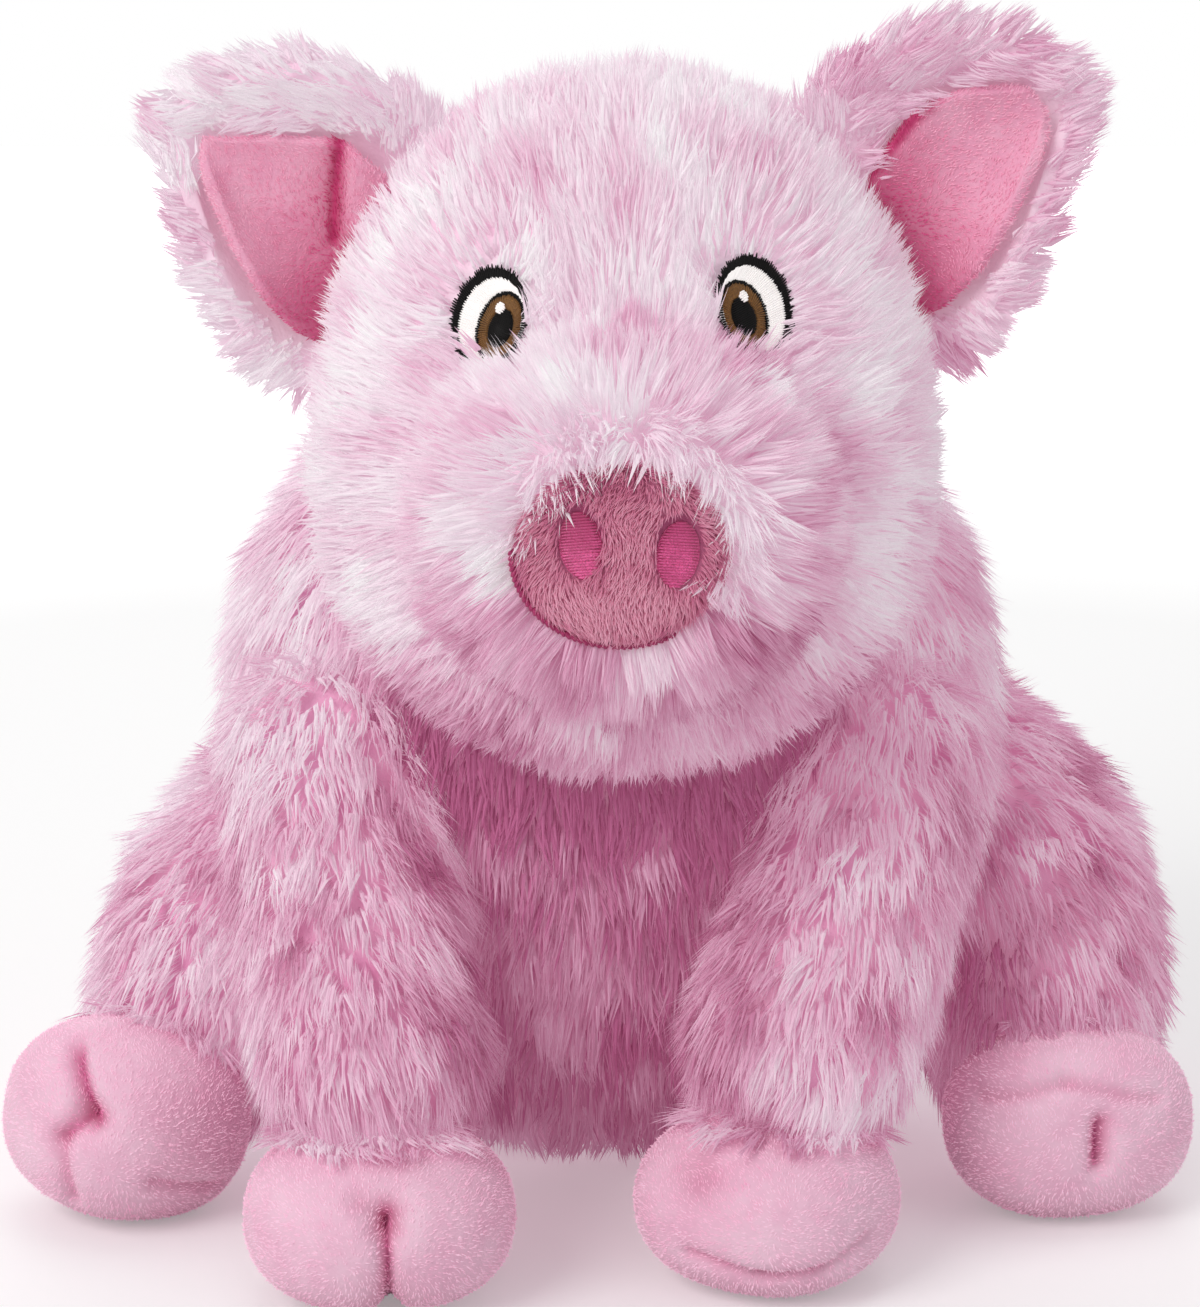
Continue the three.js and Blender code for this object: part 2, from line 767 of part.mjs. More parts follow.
// The mouth line: a rope of stitches round the lower edge of the pad.
function mouthLinePoints() {
  const middle = padLine.getPointAt(mouthDepthShare);
  return Array.from({ length: mouthLine.steps + 1 }, (_, k) => {
    const share = k / mouthLine.steps;
    const turn = 2 * Math.PI * THREE.MathUtils.lerp(mouthTurnShares.from, mouthTurnShares.to, share);
    const reach = mouthLine.radius + mouthLine.beside;
    return middle
      .clone()
      .addScaledVector(xAxis, (pad.halfWidth + reach) * Math.cos(turn))
      .add(new THREE.Vector3(0, 0, (pad.halfHeight + reach) * Math.sin(turn)));
  });
}
const mouthCurve = new THREE.CatmullRomCurve3(mouthLinePoints());
const mouthSection = new THREE.Shape(
  Array.from({ length: mouthLine.sides }, (_, k) => {
    const turn = (2 * Math.PI * k) / mouthLine.sides;
    return new THREE.Vector2(mouthLine.radius * Math.cos(turn), mouthLine.radius * Math.sin(turn));
  }),
);
const mouthTube = new THREE.ExtrudeGeometry(mouthSection, {
  steps: mouthLine.steps,
  extrudePath: mouthCurve,
  bevelEnabled: false,
});
addPiece(
  "mouth_line",
  without(solid(mouthTube), [muzzleSkin, solid(padForm(sewnGap))]),
  colours.thread,
  0.6,
);

// Eyes: ovals of satin stitches, one inside the other.
const eyeLayers = [
  ["outline", "white", colours.black],
  ["white", "rim", colours.white],
  ["rim", "iris", colours.black],
  ["iris", "pupil", colours.brown],
  ["pupil", null, colours.black],
];
for (const side of sides) {
  const sign = signOf(side);
  const place = new THREE.Vector3(
    head.x + eye.sideways + (sign * eye.apart) / 2, head.y - head.halfDepth, head.z + eye.rise[side],
  );
  const roll = degrees(sign * eye.lean);
  const oval = (layer) => ({ ...eyeOvals[layer], inwards: sign * eyeOvals[layer].inwards });
  const through = (outline) => prismThrough(outline, place, eye.depth, roll);
  const glintHole = through(ovalShape(oval("glint"), eye.corners, null, sewnGap));
  for (const [layer, inner, colour] of eyeLayers) {
    const outline = ovalShape(oval(layer), eye.corners, inner ? oval(inner) : null);
    const patch = patchOn(headForm, through(outline));
    addPiece(`eye_${layer}_${side}`, patch.subtract(glintHole), colour, 0.45);
  }
  const glint = patchOn(headForm, through(ovalShape(oval("glint"), eye.corners)));
  addPiece(`eye_glint_${side}`, glint, colours.white, 0.45);
}

// Ears
for (const side of sides) {
  const ear = earSolids(side);
  addPiece(`ear_back_${side}`, ear.back, colours.fur);
  addPiece(`ear_lining_${side}`, ear.lining, colours.lining, 0.8);
}

// Legs and feet: a leg's cover is open at its round end, and a foot's where the leg enters it.
for (const [name, { form, pole, ball }] of Object.entries(limbs)) {
  const opening = solid(new THREE.SphereGeometry(ball / 2, 12, 8).translate(pole.x, pole.y, pole.z));
  addPiece(
    `${name}_cover`,
    without(solid(form(0)), [solid(form(-furThickness)), opening, belowFloor]),
    colours.fur,
  );
  addPiece(
    `${name}_filling`,
    without(solid(form(-furThickness - sewnGap)), [belowFloor]),
    colours.filling,
  );
  const footName = name.replace("_leg", "");
  const foot = footForm(footName);
  const legSkin = solid(form(sewnGap));
  addPiece(
    `${footName}_foot_cover`,
    without(foot(0), [foot(-velvetThickness), legSkin, belowFloor]),
    colours.velvet,
    0.8,
  );
  addPiece(
    `${footName}_foot_filling`,
    without(foot(-velvetThickness - sewnGap), [legSkin, belowFloor]),
    colours.filling,
  );
}

addPiece("tail", solid(tailForm(0)), colours.velvet, 0.8);

// The pig stands over the middle of its own outline.
const outline = new THREE.Box3().setFromObject(pig);
const middle = outline.getCenter(new THREE.Vector3());
pig.position.set(-middle.x, -middle.y, 0);

export default pig;
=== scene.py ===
# %% [markdown]
# A sitting plush pig, dressed over its CAD frame. The CAD says where every stuffed form, patch and
# joint is. Blender gives each form what a hand would feel: backing cloth, long combed pile, short
# velvet nap and satin stitches. Lengths are metres, so a value in millimetres is written times mm.

# %% Load the CAD frame
import json
import math

import bmesh
import bpy
import numpy as np
from mathutils import Matrix, Vector, noise
from mathutils.bvhtree import BVHTree
from mathutils.kdtree import KDTree

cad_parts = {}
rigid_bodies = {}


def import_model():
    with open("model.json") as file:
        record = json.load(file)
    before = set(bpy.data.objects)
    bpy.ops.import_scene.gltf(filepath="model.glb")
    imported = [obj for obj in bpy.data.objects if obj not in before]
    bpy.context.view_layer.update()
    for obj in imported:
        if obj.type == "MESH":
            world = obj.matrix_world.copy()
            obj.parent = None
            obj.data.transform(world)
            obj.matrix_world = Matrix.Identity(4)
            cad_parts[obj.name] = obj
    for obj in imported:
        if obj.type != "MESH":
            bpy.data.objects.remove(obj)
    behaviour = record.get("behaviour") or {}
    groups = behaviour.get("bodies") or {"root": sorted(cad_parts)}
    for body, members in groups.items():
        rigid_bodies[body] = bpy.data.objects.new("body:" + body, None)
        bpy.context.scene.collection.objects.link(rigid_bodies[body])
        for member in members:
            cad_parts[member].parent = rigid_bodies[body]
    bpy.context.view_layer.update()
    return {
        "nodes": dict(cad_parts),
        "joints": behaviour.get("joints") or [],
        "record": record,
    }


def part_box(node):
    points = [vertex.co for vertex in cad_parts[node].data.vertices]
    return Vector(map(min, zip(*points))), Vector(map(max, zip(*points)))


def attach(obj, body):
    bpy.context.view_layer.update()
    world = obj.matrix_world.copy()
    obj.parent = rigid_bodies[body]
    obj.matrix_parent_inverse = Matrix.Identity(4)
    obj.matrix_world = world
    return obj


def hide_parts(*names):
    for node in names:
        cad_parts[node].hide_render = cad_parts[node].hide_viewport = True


for leftover in list(bpy.data.objects):
    bpy.data.objects.remove(leftover)
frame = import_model()
mm = 0.001
joint_place = {joint["name"]: Vector(joint["pos_m"]) for joint in frame["joints"]}
joint_axis = {joint["name"]: Vector(joint["axis"]) for joint in frame["joints"]}
# The pig's own left lies towards +X, and its face towards -Y.
side_signs = {"left": 1, "right": -1}


# %% [markdown]
# The camera stands where the photographer stood: straight in front, a little above, and well back
# with a long lens, which keeps the snout from looking too big. The lens follows from how many
# pixels tall the picture is and how many pixels a metre at one metre's distance takes.

# %% Camera
def placed(name, data):
    """A new object of the scene that holds some data."""
    made = bpy.data.objects.new(name, data)
    bpy.context.scene.collection.objects.link(made)
    return made


picture_height = 1307
focal_length_pixels = 4680
sensor = 36
camera_distance = 900 * mm
camera_elevation = math.radians(15)
camera_target = Vector((1.1, -4.6, 104.7)) * mm
camera_data = bpy.data.cameras.new("camera")
camera_data.sensor_width = sensor
camera_data.lens = focal_length_pixels * sensor / picture_height
camera = placed("camera", camera_data)
backwards = Vector((0, -math.cos(camera_elevation), math.sin(camera_elevation)))
camera.location = camera_target + backwards * camera_distance
camera.rotation_euler = backwards.to_track_quat("Z", "Y").to_euler()
bpy.context.scene.camera = camera
bpy.context.scene.view_settings.view_transform = "Standard"
print("lens", round(camera_data.lens, 1))


# %% [markdown]
# Shader maths reads best as sums. This class wraps one node socket: an operator adds the Math node
# that works it out, and one method adds any other kind of node. Settings are made first, because
# some of them change which sockets a node has.

# %% Sockets that take part in sums
class Wire:
    def __init__(self, tree, socket=None):
        self.tree = tree
        self.socket = socket

    def node(self, kind, settings=None, sockets=None, output=0):
        """Adds a node with its settings, then the values or wires of its sockets."""
        made = self.tree.nodes.new(kind)
        for key, value in (settings or {}).items():
            if key == "stops":
                self.set_stops(made.color_ramp, value)
            else:
                setattr(made, key, value)
        for key, value in (sockets or {}).items():
            if isinstance(value, Wire):
                self.tree.links.new(value.socket, made.inputs[key])
            else:
                made.inputs[key].default_value = value
        return Wire(self.tree, made.outputs[output] if made.outputs else None)

    @staticmethod
    def set_stops(ramp, stops):
        """Puts a colour ramp's stops in place, from left to right."""
        while len(ramp.elements) < len(stops):
            ramp.elements.new(1)
        for element, (position, colour) in zip(ramp.elements, stops):
            element.position = position
            element.color = colour

    def sibling(self, name):
        """Another output of the node that this socket belongs to."""
        return Wire(self.tree, self.socket.node.outputs[name])

    def math(self, operation, first, second):
        return self.node("ShaderNodeMath", {"operation": operation}, {0: first, 1: second})

    def __add__(self, other):
        return self.math("ADD", self, other)

    def __radd__(self, other):
        return self.math("ADD", other, self)

    def __sub__(self, other):
        return self.math("SUBTRACT", self, other)

    def __rsub__(self, other):
        return self.math("SUBTRACT", other, self)

    def __mul__(self, other):
        return self.math("MULTIPLY", self, other)

    def __rmul__(self, other):
        return self.math("MULTIPLY", other, self)

    def between(self, low, high):
        """0 below low, 1 above high, and a straight rise between them."""
        sockets = {"Value": self, "From Min": low, "From Max": high}
        return self.node("ShaderNodeMapRange", {"clamp": True}, sockets)

    def mix(self, colour_at_0, colour_at_1):
        """A colour between two, with this socket as the share of the second."""
        sockets = {0: self, 6: colour_at_0, 7: colour_at_1}
        return self.node("ShaderNodeMix", {"data_type": "RGBA"}, sockets, output=2)

    def bump(self, strength, distance):
        """A normal bent by this socket as a height; 1 stands for that distance."""
        sockets = {"Height": self, "Strength": strength, "Distance": distance}
        return self.node("ShaderNodeBump", {}, sockets)


def linear(red, green, blue):
    """A colour as read off a screen, 0 to 255, as the linear values that a shader takes."""
    shares = [c / 255 for c in (red, green, blue)]
    return (*[s / 12.92 if s < 0.04 else ((s + 0.055) / 1.055) ** 2.4 for s in shares], 1)


def new_finish(name):
    """An empty material: its first wire, to start sums from, and a way to finish it."""
    material = bpy.data.materials.new(name)
    material.use_nodes = True
    material.node_tree.nodes.clear()
    return material, Wire(material.node_tree)


def close_finish(start, surface):
    start.node("ShaderNodeOutputMaterial", {}, {"Surface": surface})


def close_principled(start, sockets):
    """Finishes a material with one Principled shader."""
    close_finish(start, start.node("ShaderNodeBsdfPrincipled", {}, sockets))


# %% [markdown]
# The studio is a pale floor, a white surround and soft lamps. The floor and the world look white to
# the camera alone, so the object is lit at a plain level and its colours come out as written. The
# floor is still a lit surface under that white, so the pig's own shadow shows on it. Away from the
# pig it fades to full white, so that it has no edge in a view from low down.

# %% Floor, world and lamps
floor_size = 2.6
floor_fade = (0.45, 1.1)
floor_grey = 0.8
floor_lift = 0.26
ambient = 0.41


def grey(level):
    return (level, level, level, 1)


def seen_by(start):
    """Above 0 for rays from the camera, from mirrors and through glass; 0 for all others."""
    rays = start.node("ShaderNodeLightPath")
    seen = rays.sibling("Is Camera Ray") + rays.sibling("Is Glossy Ray")
    return seen + rays.sibling("Is Transmission Ray")


def floor_finish():
    material, start = new_finish("pale_floor")
    seen = seen_by(start)
    lit = start.node("ShaderNodeBsdfDiffuse", {}, {"Color": grey(floor_grey)})
    place = start.node("ShaderNodeTexCoord").sibling("Object")
    away = start.node("ShaderNodeVectorMath", {"operation": "LENGTH"}, {0: place}).sibling("Value")
    lift = away.between(*floor_fade).mix(grey(floor_lift), grey(1))
    glow = start.node("ShaderNodeEmission", {}, {"Color": lift, "Strength": seen})
    close_finish(start, start.node("ShaderNodeAddShader", {}, {0: lit, 1: glow}))
    return material


floor_bm = bmesh.new()
bmesh.ops.create_grid(floor_bm, x_segments=1, y_segments=1, size=floor_size / 2)
floor_mesh = bpy.data.meshes.new("floor")
floor_bm.to_mesh(floor_mesh)
floor_bm.free()
floor_mesh.materials.append(floor_finish())
floor = placed("floor", floor_mesh)

world = bpy.data.worlds.new("studio")
bpy.context.scene.world = world
world.use_nodes = True
world.node_tree.nodes.clear()
sky = Wire(world.node_tree)
sky_strength = ambient + seen_by(sky).between(0, 1) * (1 - ambient)
sky_glow = sky.node("ShaderNodeBackground", {}, {"Color": grey(1), "Strength": sky_strength})
sky.node("ShaderNodeOutputWorld", {}, {"Surface": sky_glow})


def soft_lamp(name, place, size, level, colour):
    """A square softbox that faces the pig; level is how bright it makes a white sheet there."""
    data = bpy.data.lights.new(name, "AREA")
    data.shape = "SQUARE"
    data.size = size
    data.energy = level * math.pi**2 * (place - camera_target).length_squared
    data.color = colour
    lamp = placed(name, data)
    lamp.location = place
    lamp.rotation_euler = (place - camera_target).to_track_quat("Z", "Y").to_euler()


# Each lamp's place, size, level and colour.
lamps = {
    "key": (Vector((-1.35, -1.5, 1.5)), 1.3, 0.43, (1, 0.985, 0.97)),
    "fill": (Vector((1.6, -1.2, 0.9)), 1.4, 0.08, (0.92, 0.94, 1)),
    "top": (Vector((0.1, 0.5, 2.2)), 1.6, 0.22, (1, 1, 1)),
    "behind": (Vector((-0.4, 2.2, 1.0)), 1.6, 0.2, (1, 1, 1)),
}
for name, lamp in lamps.items():
    soft_lamp(name, *lamp)


# %% [markdown]
# Long pile is dyed darker at the root than at the tip, and its dye varies over the cloth in soft
# blotches; where the pile lies in shade, painted shade is added to the dye. Each strand of pile
# carries both facts in its texture map: how deep its dye and painted shade are runs across the map,
# and how far up the strand a point lies runs up it. The colour comes from the map alone, so
# thousands of strands can share one small patch of it and still bake without a seam. Fine noise
# along the strands stands for the single fibres, which are too thin to model. A faint glow in the
# pile's own colour is painted light that lifts the shade between the strands.

# %% Finish of the pile
pile_map = "OFBake"
fibres_across_map = 300
fibre_length_share = 0.45
# How much a fibre differs from its strand, in dye and in how far up its root's colour reaches.
fibre_dye_spread = 0.22
fibre_height_spread = 0.25


def dye_ramp(dye, colours):
    """The colour for a dye and painted shade of 0 to 1, among even screen colours, palest first."""
    stops = [(k / (len(colours) - 1), linear(*colour)) for k, colour in enumerate(colours)]
    return dye.node("ShaderNodeValToRGB", {"stops": stops}, {"Fac": dye})


def pile_finish(name, tips, roots, root_until, glow=0.1):
    """Strands whose dye goes from roots to tips; each list runs from palest to deepest."""
    material, start = new_finish(name)
    spot = start.node("ShaderNodeUVMap", {"uv_map": pile_map})
    stretch = {"Vector": spot, "Scale": (fibres_across_map, 1 / fibre_length_share, 1)}
    stretched = start.node("ShaderNodeMapping", {}, stretch)
    fineness = {"Vector": stretched, "Scale": 1, "Detail": 2}
    fibre = start.node("ShaderNodeTexNoise", {"noise_dimensions": "2D"}, fineness)
    split = start.node("ShaderNodeSeparateXYZ", {}, {"Vector": spot})
    dye = split + (fibre - 0.5) * fibre_dye_spread
    height = split.sibling("Y") + (fibre - 0.5) * fibre_height_spread
    colour = height.between(*root_until).mix(dye_ramp(dye, roots), dye_ramp(dye, tips))
    sockets = {
        "Base Color": colour,
        "Roughness": 0.8 - 0.15 * height,
        "Sheen Weight": 0.18,
        "Sheen Roughness": 0.5,
        "Sheen Tint": (1, 0.92, 0.97, 1),
        "Specular IOR Level": 0.2,
        # The glow is painted light that lifts the shade between the strands.
        "Emission Color": colour,
        "Emission Strength": glow,
    }
    close_principled(start, sockets)
    return material


# Tip and root colours, palest first, how far up the roots' colour reaches, and the pile's glow,
# which is painted light.
pale_tips = [(238, 237, 238), (234, 221, 229), (224, 181, 204), (182, 96, 140)]
deep_roots = [(238, 230, 234), (234, 210, 222), (216, 156, 188), (154, 62, 109)]
fur_finish = pile_finish("long_pile", pale_tips, deep_roots, (0, 0.38), 0.2)


# %% [markdown]
# Under the pile lies its backing, a knitted cloth in the pile's root colour. It is paler on the
# head than on the trunk and the legs, as the head's pile is, and partly as painted light that lifts
# the shade where the pile parts. It shows only there, so it needs its dye's blotches and a fine
# knit, and no more. Its faint glow in its own colour is painted light too.

# %% Finish of the backing cloth
def blotches(start, size, detail=2):
    """Soft cloudy noise with blotches of about that size, about the middle of 0 to 1."""
    place = start.node("ShaderNodeTexCoord").sibling("Object")
    sockets = {"Vector": place, "Scale": 1 / size, "Detail": detail, "Roughness": 0.55}
    return start.node("ShaderNodeTexNoise", {}, sockets)


def backing_finish(name, pale, deep):
    material, start = new_finish(name)
    clouds = blotches(start, 18 * mm).between(0.35, 0.65)
    colour = clouds.mix(linear(*pale), linear(*deep))
    bump = blotches(start, 0.9 * mm, 1).bump(0.5, 0.4 * mm)
    sockets = {"Base Color": colour, "Roughness": 0.9, "Normal": bump, "Sheen Weight": 0.2}
    # A faint glow in the cloth's own colour is painted light that lifts the shade in the gaps.
    sockets.update({"Emission Color": colour, "Emission Strength": 0.15})
    close_principled(start, sockets)
    return material


backing = backing_finish("backing_cloth", (238, 186, 212), (222, 150, 188))
# The head's backing is paler partly as painted light, which lifts the shade where its pile parts.
pale_backing = backing_finish("pale_backing_cloth", (244, 222, 234), (238, 202, 221))


# %% [markdown]
# A stuffed form is rings of cloth sewn into a bag: oval loops, bridged one to the next, closed at
# both ends and smoothed by subdivision. The rings are the CAD's own sections, drawn in by the depth
# of the pile, so that the pile's tips and not the cloth reach the size of the toy.

# %% Stuffed forms from rings
pile_depth = 1.5 * mm


def new_piece(name, bm):
    """A bmesh as a smooth-shaded object of the scene."""
    mesh = bpy.data.meshes.new(name)
    bm.to_mesh(mesh)
    bm.free()
    mesh.shade_smooth()
    return placed(name, mesh)


def subdivide(piece, name, levels):
    smooth = piece.modifiers.new(name, "SUBSURF")
    smooth.levels = smooth.render_levels = levels


def sewn_bag(name, rings, first, last, segments=28, levels=1):
    """A closed bag over rings of (middle, half across, half forward), with its two end points."""
    bm = bmesh.new()
    loops = []
    for middle, across, forward in rings:
        place = Matrix((across, forward, across.cross(forward).normalized())).transposed().to_4x4()
        place.translation = middle
        ring = bmesh.ops.create_circle(bm, segments=segments, radius=1, matrix=place)["verts"]
        loops.append(list({edge for vert in ring for edge in vert.link_edges}))
    for lower, upper in zip(loops, loops[1:]):
        bmesh.ops.bridge_loops(bm, edges=lower + upper)
    for loop, end in ((loops[0], first), (loops[-1], last)):
        lid = bmesh.ops.contextual_create(bm, geom=loop)["faces"]
        bmesh.ops.poke(bm, faces=lid)["verts"][0].co = end
    bmesh.ops.recalc_face_normals(bm, faces=bm.faces)
    bag = new_piece(name, bm)
    subdivide(bag, "rounded", levels)
    return bag


def upright_rings(shares, middle, height, half_width, half_depth, lean, grow):
    """Rings of a form that stands up: shares are height, width, depth and forward lean."""
    rings = []
    for share, wide, deep, forward in shares:
        level = height * share + grow * (2 * share - 1)
        place = middle + Vector((0, -lean * forward, level))
        across = Vector((half_width * wide + grow, 0, 0))
        rings.append((place, across, Vector((0, half_depth * deep + grow, 0))))
    return rings


# %% [markdown]
# The trunk leans forwards as it rises, so the head hangs over the belly. Its middle is above the
# middle of the seat, which the record gives as a mounting face.

# %% Trunk
seat = next(m for m in frame["record"]["mounts"] if m["name"] == "seat")
trunk_height = 164 * mm
trunk_half_width = 75 * mm
trunk_half_depth = 57 * mm
trunk_lean = 25 * mm
pressed_flat = 0.5 * mm
trunk_shares = [
    (0.008, 0.42, 0.42, 0),
    (0.05, 0.63, 0.64, 0.04),
    (0.14, 0.81, 0.83, 0.12),
    (0.27, 0.95, 0.96, 0.25),
    (0.45, 1.0, 0.97, 0.46),
    (0.63, 0.99, 0.87, 0.67),
    (0.78, 0.9, 0.74, 0.82),
    (0.9, 0.66, 0.54, 0.94),
    (0.975, 0.33, 0.28, 1.0),
]


def trunk_rings(grow):
    base = Vector(seat["pos_m"]) - Vector((0, 0, pressed_flat))
    sizes = (trunk_height + pressed_flat, trunk_half_width, trunk_half_depth, trunk_lean)
    return upright_rings(trunk_shares, base, *sizes, grow)


def bag_ends(rings, reach):
    """End points a little past the first and the last ring, so that the ends are round."""
    first, last = rings[0][0], rings[-1][0]
    return first - Vector((0, 0, reach[0])), last + Vector((0, 0, reach[1]))


rings = trunk_rings(-pile_depth)
trunk_bag = sewn_bag("trunk_cloth", rings, *bag_ends(rings, (0, 4 * mm)))
trunk_bag.data.materials.append(backing)
print("trunk cloth faces:", len(trunk_bag.data.polygons))


# %% [markdown]
# The head is one bag with its chin pushed forwards, and the muzzle is a second bag sewn on its
# face. Both ride on the head's body, whose joint is at the middle of the head, so that joint places
# them.

# %% Head and muzzle
head_middle = joint_place["head_nod"]
head_half_width = 57.5 * mm
head_half_depth = 54 * mm
head_half_height = 63 * mm
head_lean = 20 * mm
head_shares = [
    (0.035, 0.4, 0.42, 1.0),
    (0.13, 0.76, 0.76, 0.9),
    (0.27, 0.96, 0.96, 0.68),
    (0.43, 1.0, 1.0, 0.4),
    (0.6, 0.96, 0.97, 0.14),
    (0.76, 0.86, 0.87, 0),
    (0.89, 0.66, 0.67, 0),
    (0.97, 0.38, 0.4, 0),
]
muzzle_half_width = 37 * mm
muzzle_half_height = 34 * mm
muzzle_length = 65.5 * mm
muzzle_shares = [(0.05, 0.97), (0.4, 1.0), (0.66, 0.88), (0.86, 0.68), (0.97, 0.44)]
pad_low, pad_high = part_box("snout_pad")
pad_middle = (pad_low + pad_high) / 2
pad_front = pad_low.y
muzzle_tip = Vector((pad_middle.x, pad_front + 4 * mm, pad_middle.z))
muzzle_root = Vector((head_middle.x + 1 * mm, muzzle_tip.y + muzzle_length, muzzle_tip.z - 2 * mm))


def head_rings(grow):
    chin = head_middle - Vector((0, 0, head_half_height))
    sizes = (2 * head_half_height, head_half_width, head_half_depth, head_lean)
    return upright_rings(head_shares, chin, *sizes, grow)


def muzzle_rings(grow):
    rings = []
    for share, wide in muzzle_shares:
        along = share + grow * (2 * share - 1) / muzzle_length
        middle = muzzle_root.lerp(muzzle_tip, along)
        across = Vector((muzzle_half_width * wide + grow, 0, 0))
        rings.append((middle, across, Vector((0, 0, muzzle_half_height * wide + grow))))
    return rings


def head_bag_of(name, grow):
    rings = head_rings(grow)
    return sewn_bag(name, rings, *bag_ends(rings, (4 * mm, 4 * mm)))


def muzzle_bag_of(name, grow):
    rings = muzzle_rings(grow)
    tip = rings[-1][0] - Vector((0, 2 * mm, 0))
    return sewn_bag(name, rings, rings[0][0] + Vector((0, 3 * mm, 0)), tip)


head_bag = head_bag_of("head_cloth", -pile_depth)
muzzle_bag = muzzle_bag_of("muzzle_cloth", -pile_depth)
for bag in (head_bag, muzzle_bag):
    bag.data.materials.append(pale_backing)


# %% [markdown]
# A leg is a bag along a bent line, with a round end that turns in the trunk's hollow. Its line runs
# from its joint, through a knee, to the wrist or ankle inside the foot, as one smooth curve.

# %% Legs
round_end_turns = [25, 50, 72, 90]
front_leg_ball = 21 * mm
front_leg_shares = [(0.35, 0.96), (0.7, 0.94), (0.95, 0.97), (1.08, 0.8), (1.16, 0.45)]
hind_leg_ball = {"left": 35 * mm, "right": 32 * mm}
hind_leg_shares = [(0.35, 0.95), (0.65, 0.83), (0.9, 0.68), (1.1, 0.57), (1.28, 0.36)]
# From a leg's joint to its knee and on to its wrist or ankle.
leg_ways = {
    "front_leg_left": [Vector((-5, -22, -25)) * mm, Vector((-17, -38, -49)) * mm],
    "front_leg_right": [Vector((2, -23, -25)) * mm, Vector((9, -44, -50)) * mm],
    "hind_leg_left": [Vector((24, -19, 1)) * mm, Vector((26, -47, -32)) * mm],
    "hind_leg_right": [Vector((-14, -20, -4)) * mm, Vector((-24, -39, -23)) * mm],
}
leg_joint = {
    "front_leg_left": "front_leg_left_lift",
    "front_leg_right": "front_leg_right_lift",
    "hind_leg_left": "hind_leg_left_splay",
    "hind_leg_right": "hind_leg_right_splay",
}


def leg_line(leg):
    start = joint_place[leg_joint[leg]]
    knee, end = (start + way for way in leg_ways[leg])
    return start, knee, end


def line_point(line, share):
    """Place and direction at a share of a bent line, going straight on past both its ends."""
    start, knee, end = line
    t = min(max(share, 0), 1)
    place = start * (1 - t) ** 2 + knee * 2 * t * (1 - t) + end * t**2
    way = ((knee - start) * 2 * (1 - t) + (end - knee) * 2 * t).normalized()
    length = line_length(line)
    return place + way * (share - t) * length, way


def line_length(line, steps=24):
    start, knee, end = line
    spots = [
        start * (1 - t) ** 2 + knee * 2 * t * (1 - t) + end * t**2
        for t in (k / steps for k in range(steps + 1))
    ]
    return sum((b - a).length for a, b in zip(spots, spots[1:]))


def leg_bag_of(name, leg, ball, shares, hint, grow):
    line = leg_line(leg)
    length = line_length(line)
    radius = ball + grow
    turns = [math.radians(turn) for turn in round_end_turns]
    stops = [(-radius * math.cos(turn) / length, radius * math.sin(turn)) for turn in turns]
    end_share = shares[-1][0]
    for share, thick in shares:
        stops.append((share + grow * share / end_share / length, ball * thick + grow))
    rings = []
    for share, half in stops:
        middle, way = line_point(line, share)
        across = (hint - way * hint.dot(way)).normalized()
        rings.append((middle, across * half, way.cross(across) * half))
    first = line_point(line, -radius / length)[0]
    last = line_point(line, stops[-1][0] + (ball * shares[-1][1] / 4) / length)[0]
    return sewn_bag(name, rings, first, last, segments=20)


leg_bags = {}
for leg in leg_joint:
    front = leg.startswith("front")
    ball = front_leg_ball if front else hind_leg_ball[leg.split("_")[-1]]
    shares = front_leg_shares if front else hind_leg_shares
    hint = Vector((1, 0, 0)) if front else Vector((0, 0, 1))
    leg_bags[leg] = leg_bag_of(f"{leg}_cloth", leg, ball, shares, hint, -pile_depth)
    leg_bags[leg].data.materials.append(backing)
print("legs:", sorted(leg_bags))


# %% [markdown]
# Velvet is the same dye on a nap of a millimetre or two. The nap lies in swirls that catch the
# light by turns, painted as a paler colour on their tops, and where the cloth dips into a cleft or
# a seam it is darkened with painted shade. How deep that painted shade is, is kept on the mesh as
# its depth attribute, so the colour stays with the form.

# %% Finish of the velvet
def velvet_finish(name, crown, body, painted_dip_shade):
    """Nap in three screen colours: pale, and painted sheen atop swirls; between them; painted
    shade.
    """
    crown, body, painted_dip_shade = (linear(*colour) for colour in (crown, body, painted_dip_shade))
    material, start = new_finish(name)
    # The depth attribute holds painted shade.
    depth = start.node("ShaderNodeAttribute", {"attribute_name": "depth"}).sibling("Fac")
    clouds = blotches(start, 12 * mm, 3).between(0.36, 0.66)
    swirls = blotches(start, 2.6 * mm, 3).between(0.3, 0.7)
    nap = blotches(start, 0.5 * mm, 2)
    ground = clouds.mix(body, crown)
    # The paler colour on the tops of the swirls is painted sheen.
    ground = (swirls * 0.35).mix(ground, crown)
    colour = depth.mix(ground, painted_dip_shade)
    bump = (nap * 0.5 + swirls * 0.6).bump(0.6, 0.5 * mm)
    sockets = {
        "Base Color": colour,
        "Roughness": 0.8 + 0.1 * nap,
        "Normal": bump,
        "Sheen Weight": 0.4,
        "Sheen Roughness": 0.5,
        "Sheen Tint": (1, 0.88, 0.94, 1),
        "Specular IOR Level": 0.2,
    }
    close_principled(start, sockets)
    return material


# Each velvet: its pale colour, also its painted sheen; its colour between swirls; its painted
# shade.
foot_velvet = velvet_finish("foot_velvet", (250, 210, 229), (244, 188, 214), (200, 72, 130))
ear_velvet = velvet_finish("ear_velvet", (250, 190, 214), (242, 164, 196), (196, 44, 108))
snout_velvet = velvet_finish("snout_velvet", (214, 136, 168), (196, 106, 142), (150, 46, 94))


